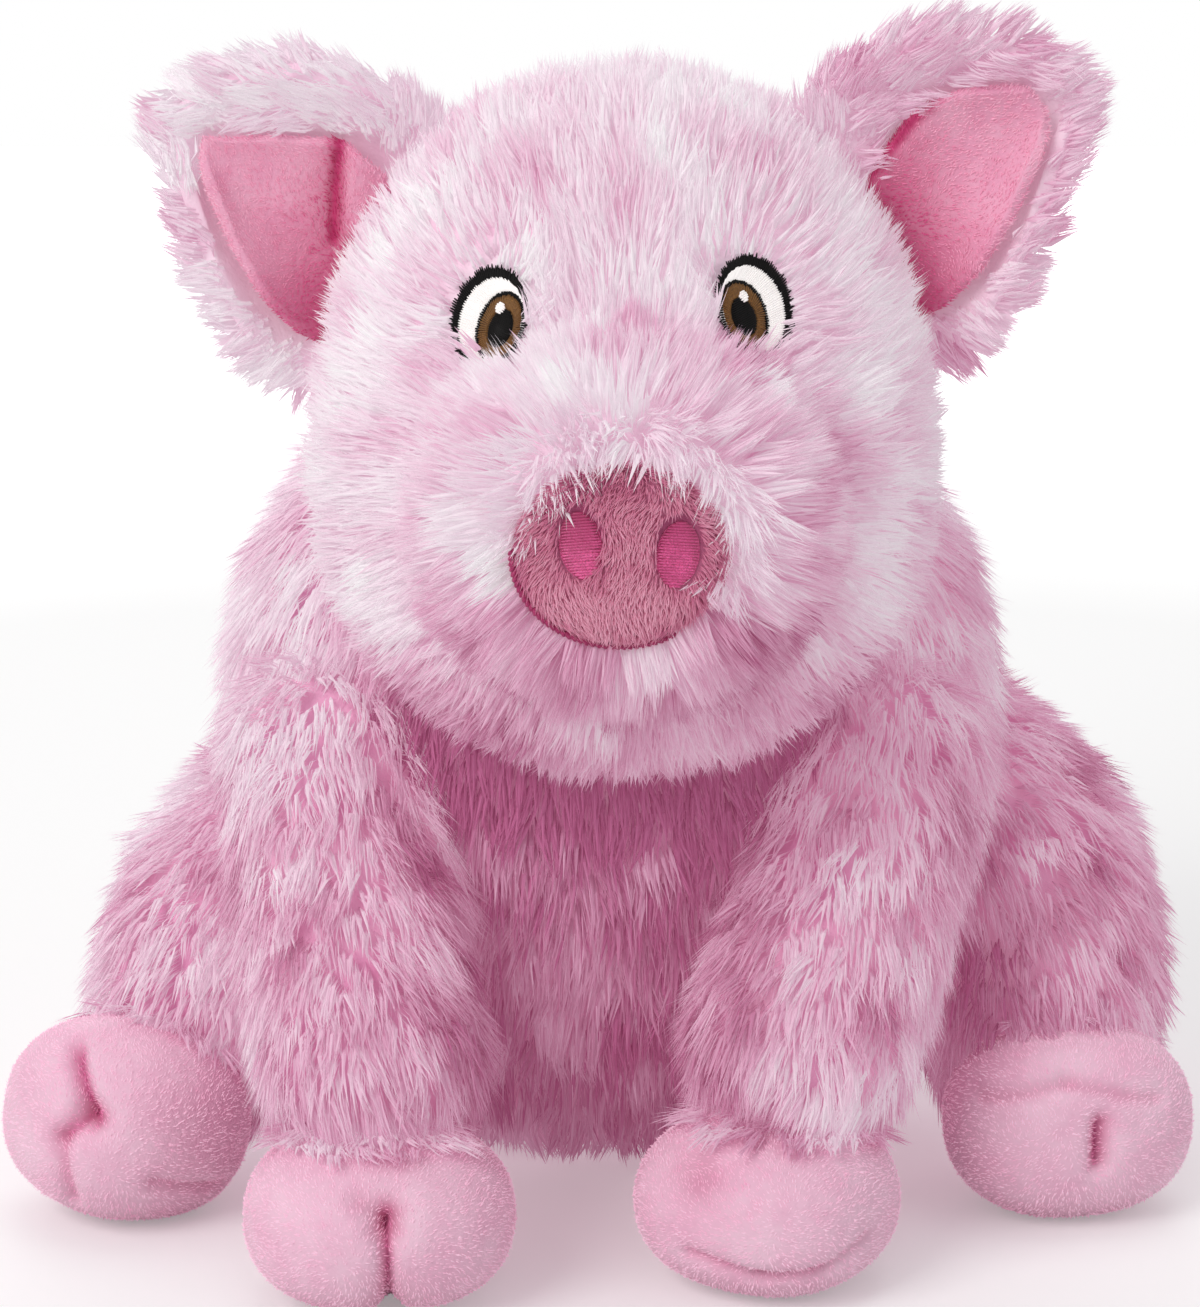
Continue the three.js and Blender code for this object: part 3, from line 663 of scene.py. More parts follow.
# %% [markdown]
# A foot is one full velvet bag. A stitch pulled through it leaves a dimple, and a seam that is
# drawn tight leaves a crease, so every foot is told apart by where its dimples and creases are.
# Each is a short line pressed into the foot's front, as seen from straight ahead: its two ends from
# the foot's middle, its width and its depth.

# %% Feet
foot_voxel = 1.3 * mm
foot_fullness = 2.35
# Marks fade out towards the foot's sides, and one this deep gets the deepest painted shade.
mark_fade = 2.5
full_mark = 3
# Near the floor the foot is painted darker, as shade, up to this height and by this much at most.
foot_shade_height = 8 * mm
foot_floor_painted_shade = 0.35
foot_sizes = {
    "front_left_foot": {"half": Vector((24, 23, 16)) * mm, "yaw": -30, "pitch": 0},
    "front_right_foot": {"half": Vector((25, 23, 16)) * mm, "yaw": 2, "pitch": 0},
    "hind_left_foot": {"half": Vector((24, 19, 18.5)) * mm, "yaw": 12, "pitch": 4},
    "hind_right_foot": {"half": Vector((22, 23, 19)) * mm, "yaw": -50, "pitch": 12},
}
# Each mark: start right and up, end right and up, width, depth.
foot_marks = {
    "front_left_foot": [
        (-14.5, 9, -13, 10.5, 4.5, 1.7),
        (-15, -4, -2, -7, 1.3, 1.8),
        (-2, -7, 9, -6, 1.3, 1.8),
        (9, -6, 18, -1, 1.3, 1.3),
    ],
    "front_right_foot": [
        (2.4, 8, 2.4, 6, 3.2, 3.2),
        (2.4, 7, 2.6, -17, 1.5, 3.6),
        (2.4, -8, 2.6, -20, 5, 1.6),
        (-3, 10, 2.4, 7, 2, 1.4),
    ],
    "hind_left_foot": [
        (4.6, 5.5, 4.4, -2.5, 1.9, 4),
        (-18, 9, -2, 13, 1.4, 1.3),
        (-2, 13, 16, 8.5, 1.4, 1.3),
    ],
    "hind_right_foot": [
        (-5, 9, -4, 8, 3, 4),
        (-5, 10, -8, 17, 1.8, 3),
        (-6, 8, -11, 3, 2, 2.6),
        (-11, 3, -9, -10, 1.8, 1.8),
        (7, -6, 19, -11, 1.6, 1.5),
    ],
}


def applied(piece):
    """A piece with its modifiers worked into its mesh."""
    depsgraph = bpy.context.evaluated_depsgraph_get()
    mesh = bpy.data.meshes.new_from_object(piece.evaluated_get(depsgraph))
    piece.modifiers.clear()
    old = piece.data
    piece.data = mesh
    bpy.data.meshes.remove(old)
    return piece


def points_of(mesh):
    points = np.zeros(len(mesh.vertices) * 3, np.float32)
    mesh.vertices.foreach_get("co", points)
    return points.reshape(-1, 3).astype(float)


def set_points(mesh, points):
    mesh.vertices.foreach_set("co", points.astype(np.float32).ravel())
    mesh.update()


# The depth attribute holds painted shade, which the velvet's finish reads.
def set_painted_shade(mesh, depth):
    layer = mesh.attributes.new("depth", "FLOAT", "POINT")
    layer.data.foreach_set("value", depth.astype(np.float32))


def beside_line(flat, start, end):
    """How far points of a plane are from a short line in it."""
    along = end - start
    share = np.clip(((flat - start) @ along) / (along @ along), 0, 1)
    return np.linalg.norm(flat - start - share[:, None] * along, axis=1)


def foot_of(name, half, yaw, pitch):
    bm = bmesh.new()
    bmesh.ops.create_icosphere(bm, subdivisions=4, radius=1)
    for vert in bm.verts:
        fullness = sum(abs(c) ** foot_fullness for c in vert.co) ** (-1 / foot_fullness)
        vert.co = Vector([c * fullness * size for c, size in zip(vert.co, half)])
    foot = new_piece(f"{name}_velvet", bm)
    skin = foot.modifiers.new("one_skin", "REMESH")
    skin.mode = "VOXEL"
    skin.voxel_size = foot_voxel
    relax = foot.modifiers.new("relax", "SMOOTH")
    relax.factor = 0.5
    relax.iterations = 4
    mesh = applied(foot).data
    low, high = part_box(f"{name}_cover")
    middle = Vector(((low.x + high.x) / 2, (low.y + high.y) / 2, half.z - pressed_flat))
    turn = Matrix.Rotation(math.radians(yaw), 3, "Z")
    turn = turn @ Matrix.Rotation(-math.radians(pitch), 3, "X")
    points = points_of(mesh) @ np.array(turn).T
    ahead = np.clip(-points[:, 1] / half.y * mark_fade, 0, 1)
    inward = points / np.linalg.norm(points, axis=1, keepdims=True)
    painted_dip_shade = np.zeros(len(points))
    pressed = np.zeros(len(points))
    for right, up, end_right, end_up, width, depth in foot_marks[name]:
        start, end = np.array([right, up]) * mm, np.array([end_right, end_up]) * mm
        press = np.exp(-((beside_line(points[:, [0, 2]], start, end) / (width * mm)) ** 2)) * ahead
        pressed += press * depth * mm
        painted_dip_shade = np.maximum(painted_dip_shade, press * min(depth / full_mark, 1))
    points = points - inward * pressed[:, None] + np.array(middle)
    points[:, 2] = np.maximum(points[:, 2], 0)
    set_points(mesh, points)
    # Painted shade in the dimples and creases, and towards the floor.
    painted_shade_below = np.clip((foot_shade_height - points[:, 2]) / foot_shade_height, 0, 1)
    painted_shade_below = painted_shade_below * foot_floor_painted_shade
    set_painted_shade(mesh, np.clip(painted_dip_shade**1.5 * 0.9 + painted_shade_below, 0, 1))
    mesh.shade_smooth()
    mesh.materials.append(foot_velvet)
    return foot


feet = {name: foot_of(name, **sizes) for name, sizes in foot_sizes.items()}
print("foot faces:", [len(foot.data.polygons) for foot in feet.values()])


# %% [markdown]
# An ear is a furry leaf with a velvet leaf sewn on its front. Both follow one cupped surface that
# grows out of the ear's joint line; a grid is bent onto it and given its thickness by Solidify. The
# lining is the smaller of the two. One of the linings is folded forwards next to the head, beside a
# deep crease; the other is drawn in under the fur of its upper edge.

# %% Ears
ear_columns = 26
ear_rows = 20
ear_back_thickness = 3 * mm
ear_lining_thickness = 2.2 * mm
cup_at_root_share = 0.35
rounded_tip_share = 0.14
lower_cut_share = 0.45
ear_outline_shares = [(0, 0.9), (0.2, 1.0), (0.45, 0.99), (0.7, 0.85), (0.9, 0.6), (1.0, 0.36)]
ear_sizes = {
    "left": {"length": 42, "half_span": 23, "cup": 10, "curl": 5, "rake": 7},
    "right": {"length": 41, "half_span": 24, "cup": 12, "curl": 6, "rake": 6},
}
# How far the furry leaf reaches past the lining's leaf: at the top, the bottom and the rim.
fur_margin = {"left": (5 * mm, 5 * mm, 5 * mm), "right": (3 * mm, 5 * mm, 6 * mm)}
# How far up the leaf the lining reaches: shares of the way out, with shares of the way up.
lining_top_shares = {
    "left": [(0, 0.2), (0.2, 0.42), (0.5, 0.64), (0.8, 0.62), (1, 0.5)],
    "right": [(0, 0.5), (0.2, 0.6), (0.45, 0.6), (0.75, 0.36), (1, 0.02)],
}
lining_bottom_share = 0.87
lining_rim_short = 1.5 * mm
lining_gap = 1.4 * mm
# The lining's crease: its two ends as shares of the way out and up, and how much the lining stands
# forwards on the side of it that is next to the head.
lining_crease = {
    "left": {"start": (0.0, 0.28), "end": (0.5, 0.62), "flap": 0},
    "right": {"start": (0.24, -0.1), "end": (0.42, 0.62), "flap": 4.5 * mm},
}
crease_half_width = 2 * mm
crease_depth = 1.2 * mm
# The lining's painted shade, deep in the cup by the head: how deep at the root, how fast it pales
# outwards, its most, and how much less of it there is on the flap.
lining_painted_shade = {"root": 1.16, "fall": 2.1, "most": 0.85, "off_flap": 0.7}


def ear_surface(side, out, across, margins, offset):
    """A point of the ear: out is 0 at the root and 1 at the rim, across is -1 at the bottom."""
    size = ear_sizes[side]
    up = joint_axis[f"ear_{side}_fold"]
    backward = Vector((0, 1, 0))
    outwards = backward.cross(up) * side_signs[side]
    outs, spans = zip(*ear_outline_shares)
    span = np.interp(out, outs, spans)
    top, bottom, rim = margins
    reach = (size["length"] * mm + rim) * out * (1 - rounded_tip_share * across**2)
    bulge = cup_at_root_share + (1 - cup_at_root_share) * math.sin(math.pi * out)
    forward = size["cup"] * mm * bulge * across**2 + size["curl"] * mm * out**2
    straight = 1 - lower_cut_share * out**1.5 * (across < 0)
    half = size["half_span"] * mm + (top if across > 0 else bottom)
    height = half * span * across * straight + size["rake"] * mm * out
    root = joint_place[f"ear_{side}_fold"]
    return root + up * height + outwards * reach - backward * (forward + offset)


def finished_leaf(name, bm, thickness):
    bmesh.ops.recalc_face_normals(bm, faces=bm.faces)
    leaf = new_piece(name, bm)
    wall = leaf.modifiers.new("thickness", "SOLIDIFY")
    wall.thickness = thickness
    wall.offset = 0
    subdivide(leaf, "round_edge", 2)
    return applied(leaf)


def leaf_grid(side, place):
    """A grid bent onto an ear by a function of its side, of the way out and of the way up."""
    bm = bmesh.new()
    bmesh.ops.create_grid(bm, x_segments=ear_rows, y_segments=ear_columns, size=1)
    for vert in bm.verts:
        vert.co = place(side, (vert.co.x + 1) / 2, vert.co.y)
    return bm


def fur_place(side, out, across):
    return ear_surface(side, out, across, fur_margin[side], -ear_back_thickness / 2)


def crease_at(side, out, up):
    """How much a place of the lining lies in its crease, and how much on its folded flap."""
    fold = lining_crease[side]
    scale = np.array([ear_sizes[side]["length"], ear_sizes[side]["half_span"]]) * mm
    spots = np.stack([out, up], 1) * scale
    start, end = (np.array(fold[name]) * scale for name in ("start", "end"))
    crease = np.exp(-((beside_line(spots, start, end) / crease_half_width) ** 2))
    line_out = np.interp(spots[:, 1], [start[1], end[1]], [start[0], end[0]])
    past_line = np.clip((line_out - spots[:, 0]) / (3 * mm), 0, 1)
    above_start = np.clip((spots[:, 1] - start[1]) / (5 * mm), 0, 1)
    return crease, past_line * above_start * (fold["flap"] > 0)


def lining_place(side, out, across):
    outs, tops = zip(*lining_top_shares[side])
    up = across * (np.interp(out, outs, tops) if across > 0 else lining_bottom_share)
    crease, on_flap = (share[0] for share in crease_at(side, np.array([out]), np.array([up])))
    out_within = out * (1 - lining_rim_short / (ear_sizes[side]["length"] * mm))
    forwards = ear_lining_thickness / 2 + lining_gap + on_flap * lining_crease[side]["flap"]
    offset = forwards - crease * crease_depth
    return ear_surface(side, out_within, up, (0, 0, 0), offset)


ear_backs, ear_linings = {}, {}
for side in side_signs:
    whole = leaf_grid(side, fur_place)
    ear_backs[side] = finished_leaf(f"ear_{side}_cloth", whole, ear_back_thickness)
    ear_backs[side].data.materials.append(pale_backing)
    part = leaf_grid(side, lining_place)
    lining = finished_leaf(f"ear_{side}_velvet", part, ear_lining_thickness)
    lining.data.materials.append(ear_velvet)
    size = ear_sizes[side]
    from_root = points_of(lining.data) - np.array(joint_place[f"ear_{side}_fold"])
    up = np.array(joint_axis[f"ear_{side}_fold"])
    out = np.abs(from_root @ np.cross([0, 1, 0], up)) / (size["length"] * mm)
    rise = (from_root @ up - size["rake"] * mm * out) / (size["half_span"] * mm)
    crease, on_flap = crease_at(side, out, rise)
    # Painted shade: deep in the cup by the root, and in the crease.
    deep = np.clip(lining_painted_shade["root"] - lining_painted_shade["fall"] * out, 0, 1) * lining_painted_shade["most"]
    deep = deep * (1 - lining_painted_shade["off_flap"] * on_flap)
    set_painted_shade(lining.data, np.clip(np.maximum(deep, crease * 0.95), 0, 1))
    ear_linings[side] = lining


# %% [markdown]
# The snout pad is a low cushion at the end of the muzzle. It is short napped and dusty pink. It is
# darkened with painted shade where it goes under the muzzle's pile, at its upper left, and round
# the nostrils, where stitches draw it in.

# %% Snout pad
pad_half_width = 18 * mm
pad_half_height = 15.5 * mm
pad_thickness = 9 * mm
pad_shares = [(0.1, 0.97), (0.45, 1.0), (0.75, 0.9), (0.92, 0.66), (1.0, 0.35)]
nostril_half_width = 3.8 * mm
nostril_half_height = 5.8 * mm
nostril_dish = 1.3 * mm
# A pale band crosses the pad under the nostrils.
pale_band_below = 8 * mm
pale_band_half = 5 * mm
# The pad's painted shade: at its rim, from a share of its radius outwards; in a ring round each
# nostril; at its upper left as seen from the front; and less on the pale band.
pad_painted_shade = {"rim_from": 0.72, "rim_rise": 2.2, "rim_most": 0.8, "ring_reach": 0.35}
pad_painted_shade.update(ring_most=0.75, upper_left=0.6, pale_band=0.4)


def in_oval(points, middle, half_width, half_height):
    """Where points lie in an upright oval: half widths to the right and half heights up."""
    return (points[:, 0] - middle.x) / half_width, (points[:, 2] - middle.z) / half_height


pad_rings = []
for share, wide in pad_shares:
    middle = Vector((pad_middle.x, pad_front + pad_thickness * (1 - share), pad_middle.z))
    across = Vector((pad_half_width * wide, 0, 0))
    pad_rings.append((middle, across, Vector((0, 0, pad_half_height * wide))))
pad_back = pad_rings[0][0] + Vector((0, 1 * mm, 0))
pad_tip = pad_rings[-1][0] - Vector((0, 0.3 * mm, 0))
snout = applied(sewn_bag("snout_pad_velvet", pad_rings, pad_back, pad_tip, levels=2))
snout.data.materials.append(snout_velvet)
points = points_of(snout.data)
rim = np.hypot(*in_oval(points, pad_middle, pad_half_width, pad_half_height))
shade = (rim - pad_painted_shade["rim_from"]) * pad_painted_shade["rim_rise"]
shade = np.clip(shade, 0, pad_painted_shade["rim_most"])
band = (points[:, 2] - pad_middle.z + pale_band_below) / pale_band_half
pale_band = np.exp(-(band**2)) * np.clip((0.9 - rim) * 4, 0, 1)
upper_left = (pad_middle.x - points[:, 0]) * 0.5 + (points[:, 2] - pad_middle.z)
upper_left = np.clip(upper_left / (16 * mm), 0, 1)
nostril_middles = {}
for side in side_signs:
    low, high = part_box(f"nostril_{side}")
    middle = nostril_middles[side] = (low + high) / 2
    across, upwards = in_oval(points, middle, nostril_half_width, nostril_half_height)
    from_nostril = np.hypot(across, upwards)
    in_front = points[:, 1] < pad_middle.y
    points[:, 1] += nostril_dish * np.exp(-((from_nostril / 0.95) ** 4)) * in_front
    ring = np.exp(-((np.maximum(from_nostril - 1, 0) / pad_painted_shade["ring_reach"]) ** 2))
    ring = np.clip(ring * (0.6 + 0.25 * upwards), 0, pad_painted_shade["ring_most"])
    shade = np.maximum(shade, ring)
shade = np.maximum(shade, pad_painted_shade["upper_left"] * upper_left)
set_points(snout.data, points)
set_painted_shade(snout.data, shade - pad_painted_shade["pale_band"] * pale_band)
print("snout pad faces:", len(snout.data.polygons))


# %% [markdown]
# To plant pile, roots are scattered over a form, its surface is asked which way it faces, and roots
# that lie inside another form are left out. This works on the finished mesh, modifiers and all.
# Bare chance leaves bald spots, so the roots of the long pile are thinned until they keep their
# distance.

# %% Scatter roots over a form
generator = np.random.default_rng(7)
# This many times the wanted roots are scattered, then thinned until they stand this share of an
# even grid's spacing apart.
crowding = 1.8
gap_share = 0.72


def tree_of(points):
    """A tree that finds which of the points are near a spot."""
    tree = KDTree(len(points))
    for k, point in enumerate(points.tolist()):
        tree.insert(point, k)
    tree.balance()
    return tree


class Skin:
    """The finished surface of a piece, as arrays, with a tree to find its nearest point."""

    def __init__(self, piece):
        depsgraph = bpy.context.evaluated_depsgraph_get()
        holder = piece.evaluated_get(depsgraph)
        mesh = holder.to_mesh()
        mesh.calc_loop_triangles()
        self.points = points_of(mesh)
        normals = np.zeros(len(mesh.vertices) * 3, np.float32)
        mesh.vertices.foreach_get("normal", normals)
        self.normals = normals.reshape(-1, 3).astype(float)
        corners = np.zeros(len(mesh.loop_triangles) * 3, np.int32)
        mesh.loop_triangles.foreach_get("vertices", corners)
        self.corners = corners.reshape(-1, 3)
        holder.to_mesh_clear()
        self.tree = BVHTree.FromPolygons(self.points.tolist(), self.corners.tolist())
        self.low, self.high = self.points.min(0), self.points.max(0)

    def scatter(self, density):
        """Places and facings, with that many to the square metre."""
        a, b, c = (self.points[self.corners[:, k]] for k in range(3))
        area = np.linalg.norm(np.cross(b - a, c - a), axis=1) / 2
        total = area.sum()
        count = int(total * density)
        marks = (np.arange(count) + generator.random(count)) / count * total
        pick = np.minimum(np.searchsorted(np.cumsum(area), marks), len(area) - 1)
        along = np.sqrt(generator.random(count))
        turn = generator.random(count)
        shares = np.stack([1 - along, along * (1 - turn), along * turn], 1)
        place = np.einsum("nk,nkd->nd", shares, self.points[self.corners[pick]])
        facing = np.einsum("nk,nkd->nd", shares, self.normals[self.corners[pick]])
        return place, facing / np.linalg.norm(facing, axis=1, keepdims=True)

    def spaced(self, density):
        """Places and facings as scattered, but with no two much closer than the others."""
        place, facing = self.scatter(density * crowding)
        gap = gap_share / math.sqrt(density)
        tree = tree_of(place)
        kept = np.ones(len(place), bool)
        for k, spot in enumerate(place.tolist()):
            if kept[k]:
                for _, other, _ in tree.find_range(spot, gap):
                    kept[other] = other == k
        return place[kept], facing[kept]

    def depth_of(self, points):
        """How deep each point lies inside this form, in metres; 0 for those outside."""
        depth = np.zeros(len(points))
        near = np.flatnonzero(((points > self.low) & (points < self.high)).all(axis=1))
        for k in near:
            spot, facing, _, distance = self.tree.find_nearest(points[k].tolist())
            if (Vector(points[k]) - spot).dot(facing) < 0:
                depth[k] = distance
        return depth


def unit(vectors):
    return vectors / np.maximum(np.linalg.norm(vectors, axis=1, keepdims=True), 1e-9)


def along_surface(direction, facing):
    """The part of a direction that lies in the surface, as a unit vector."""
    return unit(direction - facing * (direction * facing).sum(1)[:, None])


def cloud_at(points, size, seed):
    """Smooth noise at each point, about 0, with blotches of that size."""
    shift = Vector((seed * 17.3, seed * 5.1, seed * 9.7))
    return np.array([noise.noise(Vector(p) / size + shift) for p in points])


# %% [markdown]
# One strand of pile is a thin spindle: a root point, a belly of three corners and a tip, bent along
# a curve that leaves the cloth steeply and then leans the way the pile was brushed. Strands stand
# in tufts whose tips draw together, and neighbouring tufts lean towards a leader and share its dye,
# which is what gives plush its wide locks. In a tuft, a few broad flat strands lie under many fine
# ones, as the mass of fibres lies under the few that stand out.
#
# Fibres scatter light among themselves, so a pile is shaded less like separate blades than like one
# soft surface. Its shading normals are therefore mostly the cloth's own, leaned towards the light
# side of each strand, and only a little the strand's.

# %% Strands and tufts
def taken_apart(bm):
    """A closed bmesh's corners as an array, and its faces, turned outwards, as their numbers."""
    bmesh.ops.recalc_face_normals(bm, faces=bm.faces)
    bm.verts.index_update()
    corners = np.array([vert.co[:] for vert in bm.verts])
    faces = [[vert.index for vert in face.verts] for face in bm.faces]
    bm.free()
    return corners, faces


def strand_template():
    """Corners of a strand of unit width and height, and its faces: a cone with a poked base."""
    belly = 0.42
    bm = bmesh.new()
    bmesh.ops.create_cone(bm, cap_ends=True, segments=3, radius1=1, radius2=0, depth=1 - belly)
    bmesh.ops.remove_doubles(bm, verts=bm.verts, dist=1e-6)
    bmesh.ops.translate(bm, verts=bm.verts, vec=(0, 0, (1 + belly) / 2))
    base = [face for face in bm.faces if all(vert.co.z < 0.5 for vert in face.verts)]
    root = bmesh.ops.poke(bm, faces=base)["verts"][0]
    root.co.z = 0
    corners, faces = taken_apart(bm)
    return corners, np.array(faces)


strand_corners, strand_faces = strand_template()
print("a strand has", len(strand_corners), "corners and", len(strand_faces), "faces")
floor_clearance = 0.2 * mm
# The pile's texture map keeps clear of its edges, across and upwards.
dye_margin = 0.03
map_margin = 0.02
# How much strands turn from facing outwards, and what their shading takes from their own shape.
facing_wobble = 0.35
shading_lean = 0.7
shading_round = 0.3
# Strands of a tuft: the shortest length and its spread, how steeply they leave the cloth, how much
# their middles are gathered, and how far the broad ones lie below the fine ones.
shortest_share = 0.8
length_spread_share = 0.36
root_lean_share = 0.35
middle_gather_share = 0.25
broad_below = 0.8 * mm
# For broad and for fine strands: their thickness for their width, and their share of the map.
strand_flatness = (0.3, 0.7)
strand_window = (0.018, 0.003)
# Broad strands are painted a little deeper, as shade under the fine ones; each strand's dye also
# differs by chance.
broad_painted_shade = 0.04
dye_spread = 0.05


def pile_piece(name, root, middle, tip, facing, shape, dye, finish):
    """Strands from root over middle to tip; shape is their width, flatness and share of the map."""
    width, flat, window = shape
    count = len(root)
    height = strand_corners[:, 2]
    line = (
        root[:, None] * ((1 - height) ** 2)[None, :, None]
        + middle[:, None] * (2 * height * (1 - height))[None, :, None]
        + tip[:, None] * (height**2)[None, :, None]
    )
    way = unit(tip - middle)
    side = unit(np.cross(way, facing + facing_wobble * generator.normal(size=(count, 3))))
    front = np.cross(side, way)
    wide = strand_corners[None, :, 0, None] * width[:, None, None]
    thin = strand_corners[None, :, 1, None] * (width * flat)[:, None, None]
    spread = side[:, None] * wide + front[:, None] * thin
    points = line + spread
    points[:, :, 2] = np.maximum(points[:, :, 2], floor_clearance)
    corners = len(strand_corners)
    faces = strand_faces[None] + (np.arange(count) * corners)[:, None, None]
    mesh = bpy.data.meshes.new(name)
    mesh.from_pydata(points.reshape(-1, 3).tolist(), [], faces.reshape(-1, 3).tolist())
    across = np.clip(dye, dye_margin, 1 - dye_margin)[:, None]
    across = across + strand_corners[None, :, 0] * window[:, None]
    upward = np.broadcast_to(height * (1 - 2 * map_margin) + map_margin, across.shape)
    spots = np.stack([np.clip(across, 0.005, 0.995), upward], -1)[:, strand_faces.ravel()]
    mesh.uv_layers.new(name=pile_map).data.foreach_set("uv", spots.astype(np.float32).ravel())
    lit = unit(facing - shading_lean * way * (facing * way).sum(1)[:, None])
    own = shading_round * spread / width[:, None, None]
    shading = unit((lit[:, None] + own).reshape(-1, 3))
    layer = mesh.attributes.new("custom_normal", "FLOAT_VECTOR", "POINT")
    layer.data.foreach_set("vector", shading.astype(np.float32).ravel())
    mesh.materials.append(finish)
    print(name, "strands:", count, "triangles:", len(mesh.polygons))
    return placed(name, mesh)


def style_of(**changes):
    """How the tufts of a pile look. Angles are degrees; broad strands come first in each tuft."""
    style = {
        "broad": 2,
        "broad_width": 0.62 * mm,
        "fine": 6,
        "fine_width": 0.13 * mm,
        "tuft": 1.7 * mm,
        "sunk": 0.8 * mm,
        "lean_spread": 6,
        "sway": 8,
        "drift": 26,
        "ruffle": 8,
        "gather": 0.45,
        "lock": 5 * mm,
        "lock_pull": 0.4,
        "lock_dye": 0.06,
    }
    style.update(changes)
    return style


def chosen(coat, keep):
    """The tufts of a coat that a mask keeps."""
    return {key: values[keep] for key, values in coat.items()}


def tips_of(coat):
    lean = np.radians(coat["lean"])[:, None]
    way = coat["comb"] * np.sin(lean) + coat["facing"] * np.cos(lean)
    return coat["place"] + way * coat["length"][:, None]


def part_way(coat, share):
    """Points that share of the way from each tuft's root to its tip."""
    return coat["place"] + (tips_of(coat) - coat["place"]) * share


def leaders_of(place, spacing):
    """For each tuft, the number of the leader of its lock: leaders keep that distance."""
    leader = np.zeros(len(place), bool)
    free = np.ones(len(place), bool)
    tree = tree_of(place)
    for k in generator.permutation(len(place)):
        if free[k]:
            leader[k] = True
            for _, other, _ in tree.find_range(place[k].tolist(), spacing):
                free[other] = False
    chosen_ones = np.flatnonzero(leader)
    near = tree_of(place[chosen_ones])
    return chosen_ones[[near.find(spot)[1] for spot in place.tolist()]]


def strand_roots(coat, style, strands):
    """Roots of each tuft's strands, on a small disc that is sunk in the cloth."""
    place, facing, comb = (coat[key][:, None] for key in ("place", "facing", "comb"))
    count = len(coat["place"])
    radius = style["tuft"] * np.sqrt(generator.random((count, strands, 1)))
    turn = generator.random((count, strands, 1)) * 2 * math.pi
    root = place + radius * (comb * np.cos(turn) + np.cross(facing, comb) * np.sin(turn))
    return root - facing * style["sunk"]


def drifted(coat, style):
    """Each tuft's lean and way: its coat's, with a drift over the cloth and a little chance."""
    place, facing, comb = (coat[key] for key in ("place", "facing", "comb"))
    count = len(place)
    drift = [cloud_at(place, size, seed) for size, seed in ((6 * mm, 50), (7 * mm, 51))]
    drift = np.stack(drift, 1) * style["drift"]
    lean = coat["lean"] + style["lean_spread"] * generator.normal(size=count) + 0.5 * drift[:, 0]
    lean = np.radians(np.clip(lean, 4, 84))[:, None]
    sway = np.radians(style["sway"] * generator.normal(size=count) + drift[:, 1])[:, None]
    return lean, comb * np.cos(sway) + np.cross(facing, comb) * np.sin(sway)


def plant_tufts(name, body, coat, style, finish=fur_finish):
    """A pile of tufts. Coat arrays: place, facing, comb, length, lean, dye and painted shade, maybe
    loose.
    """
    place, facing, length = (coat[key] for key in ("place", "facing", "length"))
    count = len(place)
    strands = style["broad"] + style["fine"]
    broad = np.arange(strands) < style["broad"]
    root = strand_roots(coat, style, strands)
    lean, way = drifted(coat, style)
    tuft_tip = place + (way * np.sin(lean) + facing * np.cos(lean)) * length[:, None]
    tight = 1 - coat.get("loose", np.zeros(count))[:, None]
    gather = (style["gather"] * tight)[:, None]
    leader = leaders_of(place, style["lock"])
    lock_mood = generator.normal(size=count)
    tuft_tip = tuft_tip + (tuft_tip[leader] - tuft_tip) * style["lock_pull"] * tight

    # Each strand has a length, a lean and a way of its own, and its tip is drawn to the tuft's.
    own_share = shortest_share + length_spread_share * generator.random((count, strands))
    own_length = (length[:, None] * own_share)[:, :, None]
    ruffle = np.radians(style["ruffle"])
    own_lean = lean[:, :, None] + ruffle * generator.normal(size=(count, strands, 1))
    own_sway = ruffle * generator.normal(size=(count, strands, 1))
    own_way = way[:, None] * np.cos(own_sway) + np.cross(facing, way)[:, None] * np.sin(own_sway)
    upright = facing[:, None]
    own_tip = root + (own_way * np.sin(own_lean) + upright * np.cos(own_lean)) * own_length
    tip = own_tip + (tuft_tip[:, None] - own_tip) * gather
    tip = tip - upright * (broad * broad_below)[None, :, None]
    steep = own_lean * root_lean_share
    middle = root + (own_way * np.sin(steep) + upright * np.cos(steep)) * own_length * 0.5
    middle = middle + (tuft_tip[:, None] - middle) * gather * middle_gather_share

    width = np.where(broad, style["broad_width"], style["fine_width"])
    width = width * (0.75 + 0.5 * generator.random((count, strands)))
    flat = np.broadcast_to(np.where(broad, *strand_flatness), width.shape)
    window = np.broadcast_to(np.where(broad, *strand_window), width.shape)
    dye = coat["dye"] + (coat["dye"][leader] - coat["dye"]) * 0.5
    dye = dye + style["lock_dye"] * lock_mood[leader]
    # Broad strands get their painted shade.
    dye = dye[:, None] + broad_painted_shade * broad
    dye = dye + dye_spread * generator.normal(size=(count, strands))
    lines = [array.reshape(-1, 3) for array in (root, middle, tip)]
    shape = [array.ravel() for array in (width, flat, window)]
    outwards = np.repeat(facing, strands, axis=0)
    piece = pile_piece(name, *lines, outwards, shape, dye.ravel(), finish)
    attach(piece, body)


# %% [markdown]
# The face is brushed outwards from the snout: up the forehead, back over the cheeks and down the
# chin. Round an eye the pile stands up and leans a little away from the stitches, except at its
# inner lower side, where it lies over them. An eye's oval, as seen from the front, says which
# strands would hide it.

# %% Which way the head's pile lies
eye_lean = 24
eye_half_width = 6.2 * mm
eye_half_height = 8.6 * mm
# What shows of an eye lies a little nearer the nose and lower than the whole patch, because pile
# covers the rest.
eye_inwards = 0.6 * mm
eye_down = 1.3 * mm


def eye_middle(side):
    low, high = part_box(f"eye_outline_{side}")
    return (low + high) / 2 + Vector((-side_signs[side] * eye_inwards, 0, -eye_down))


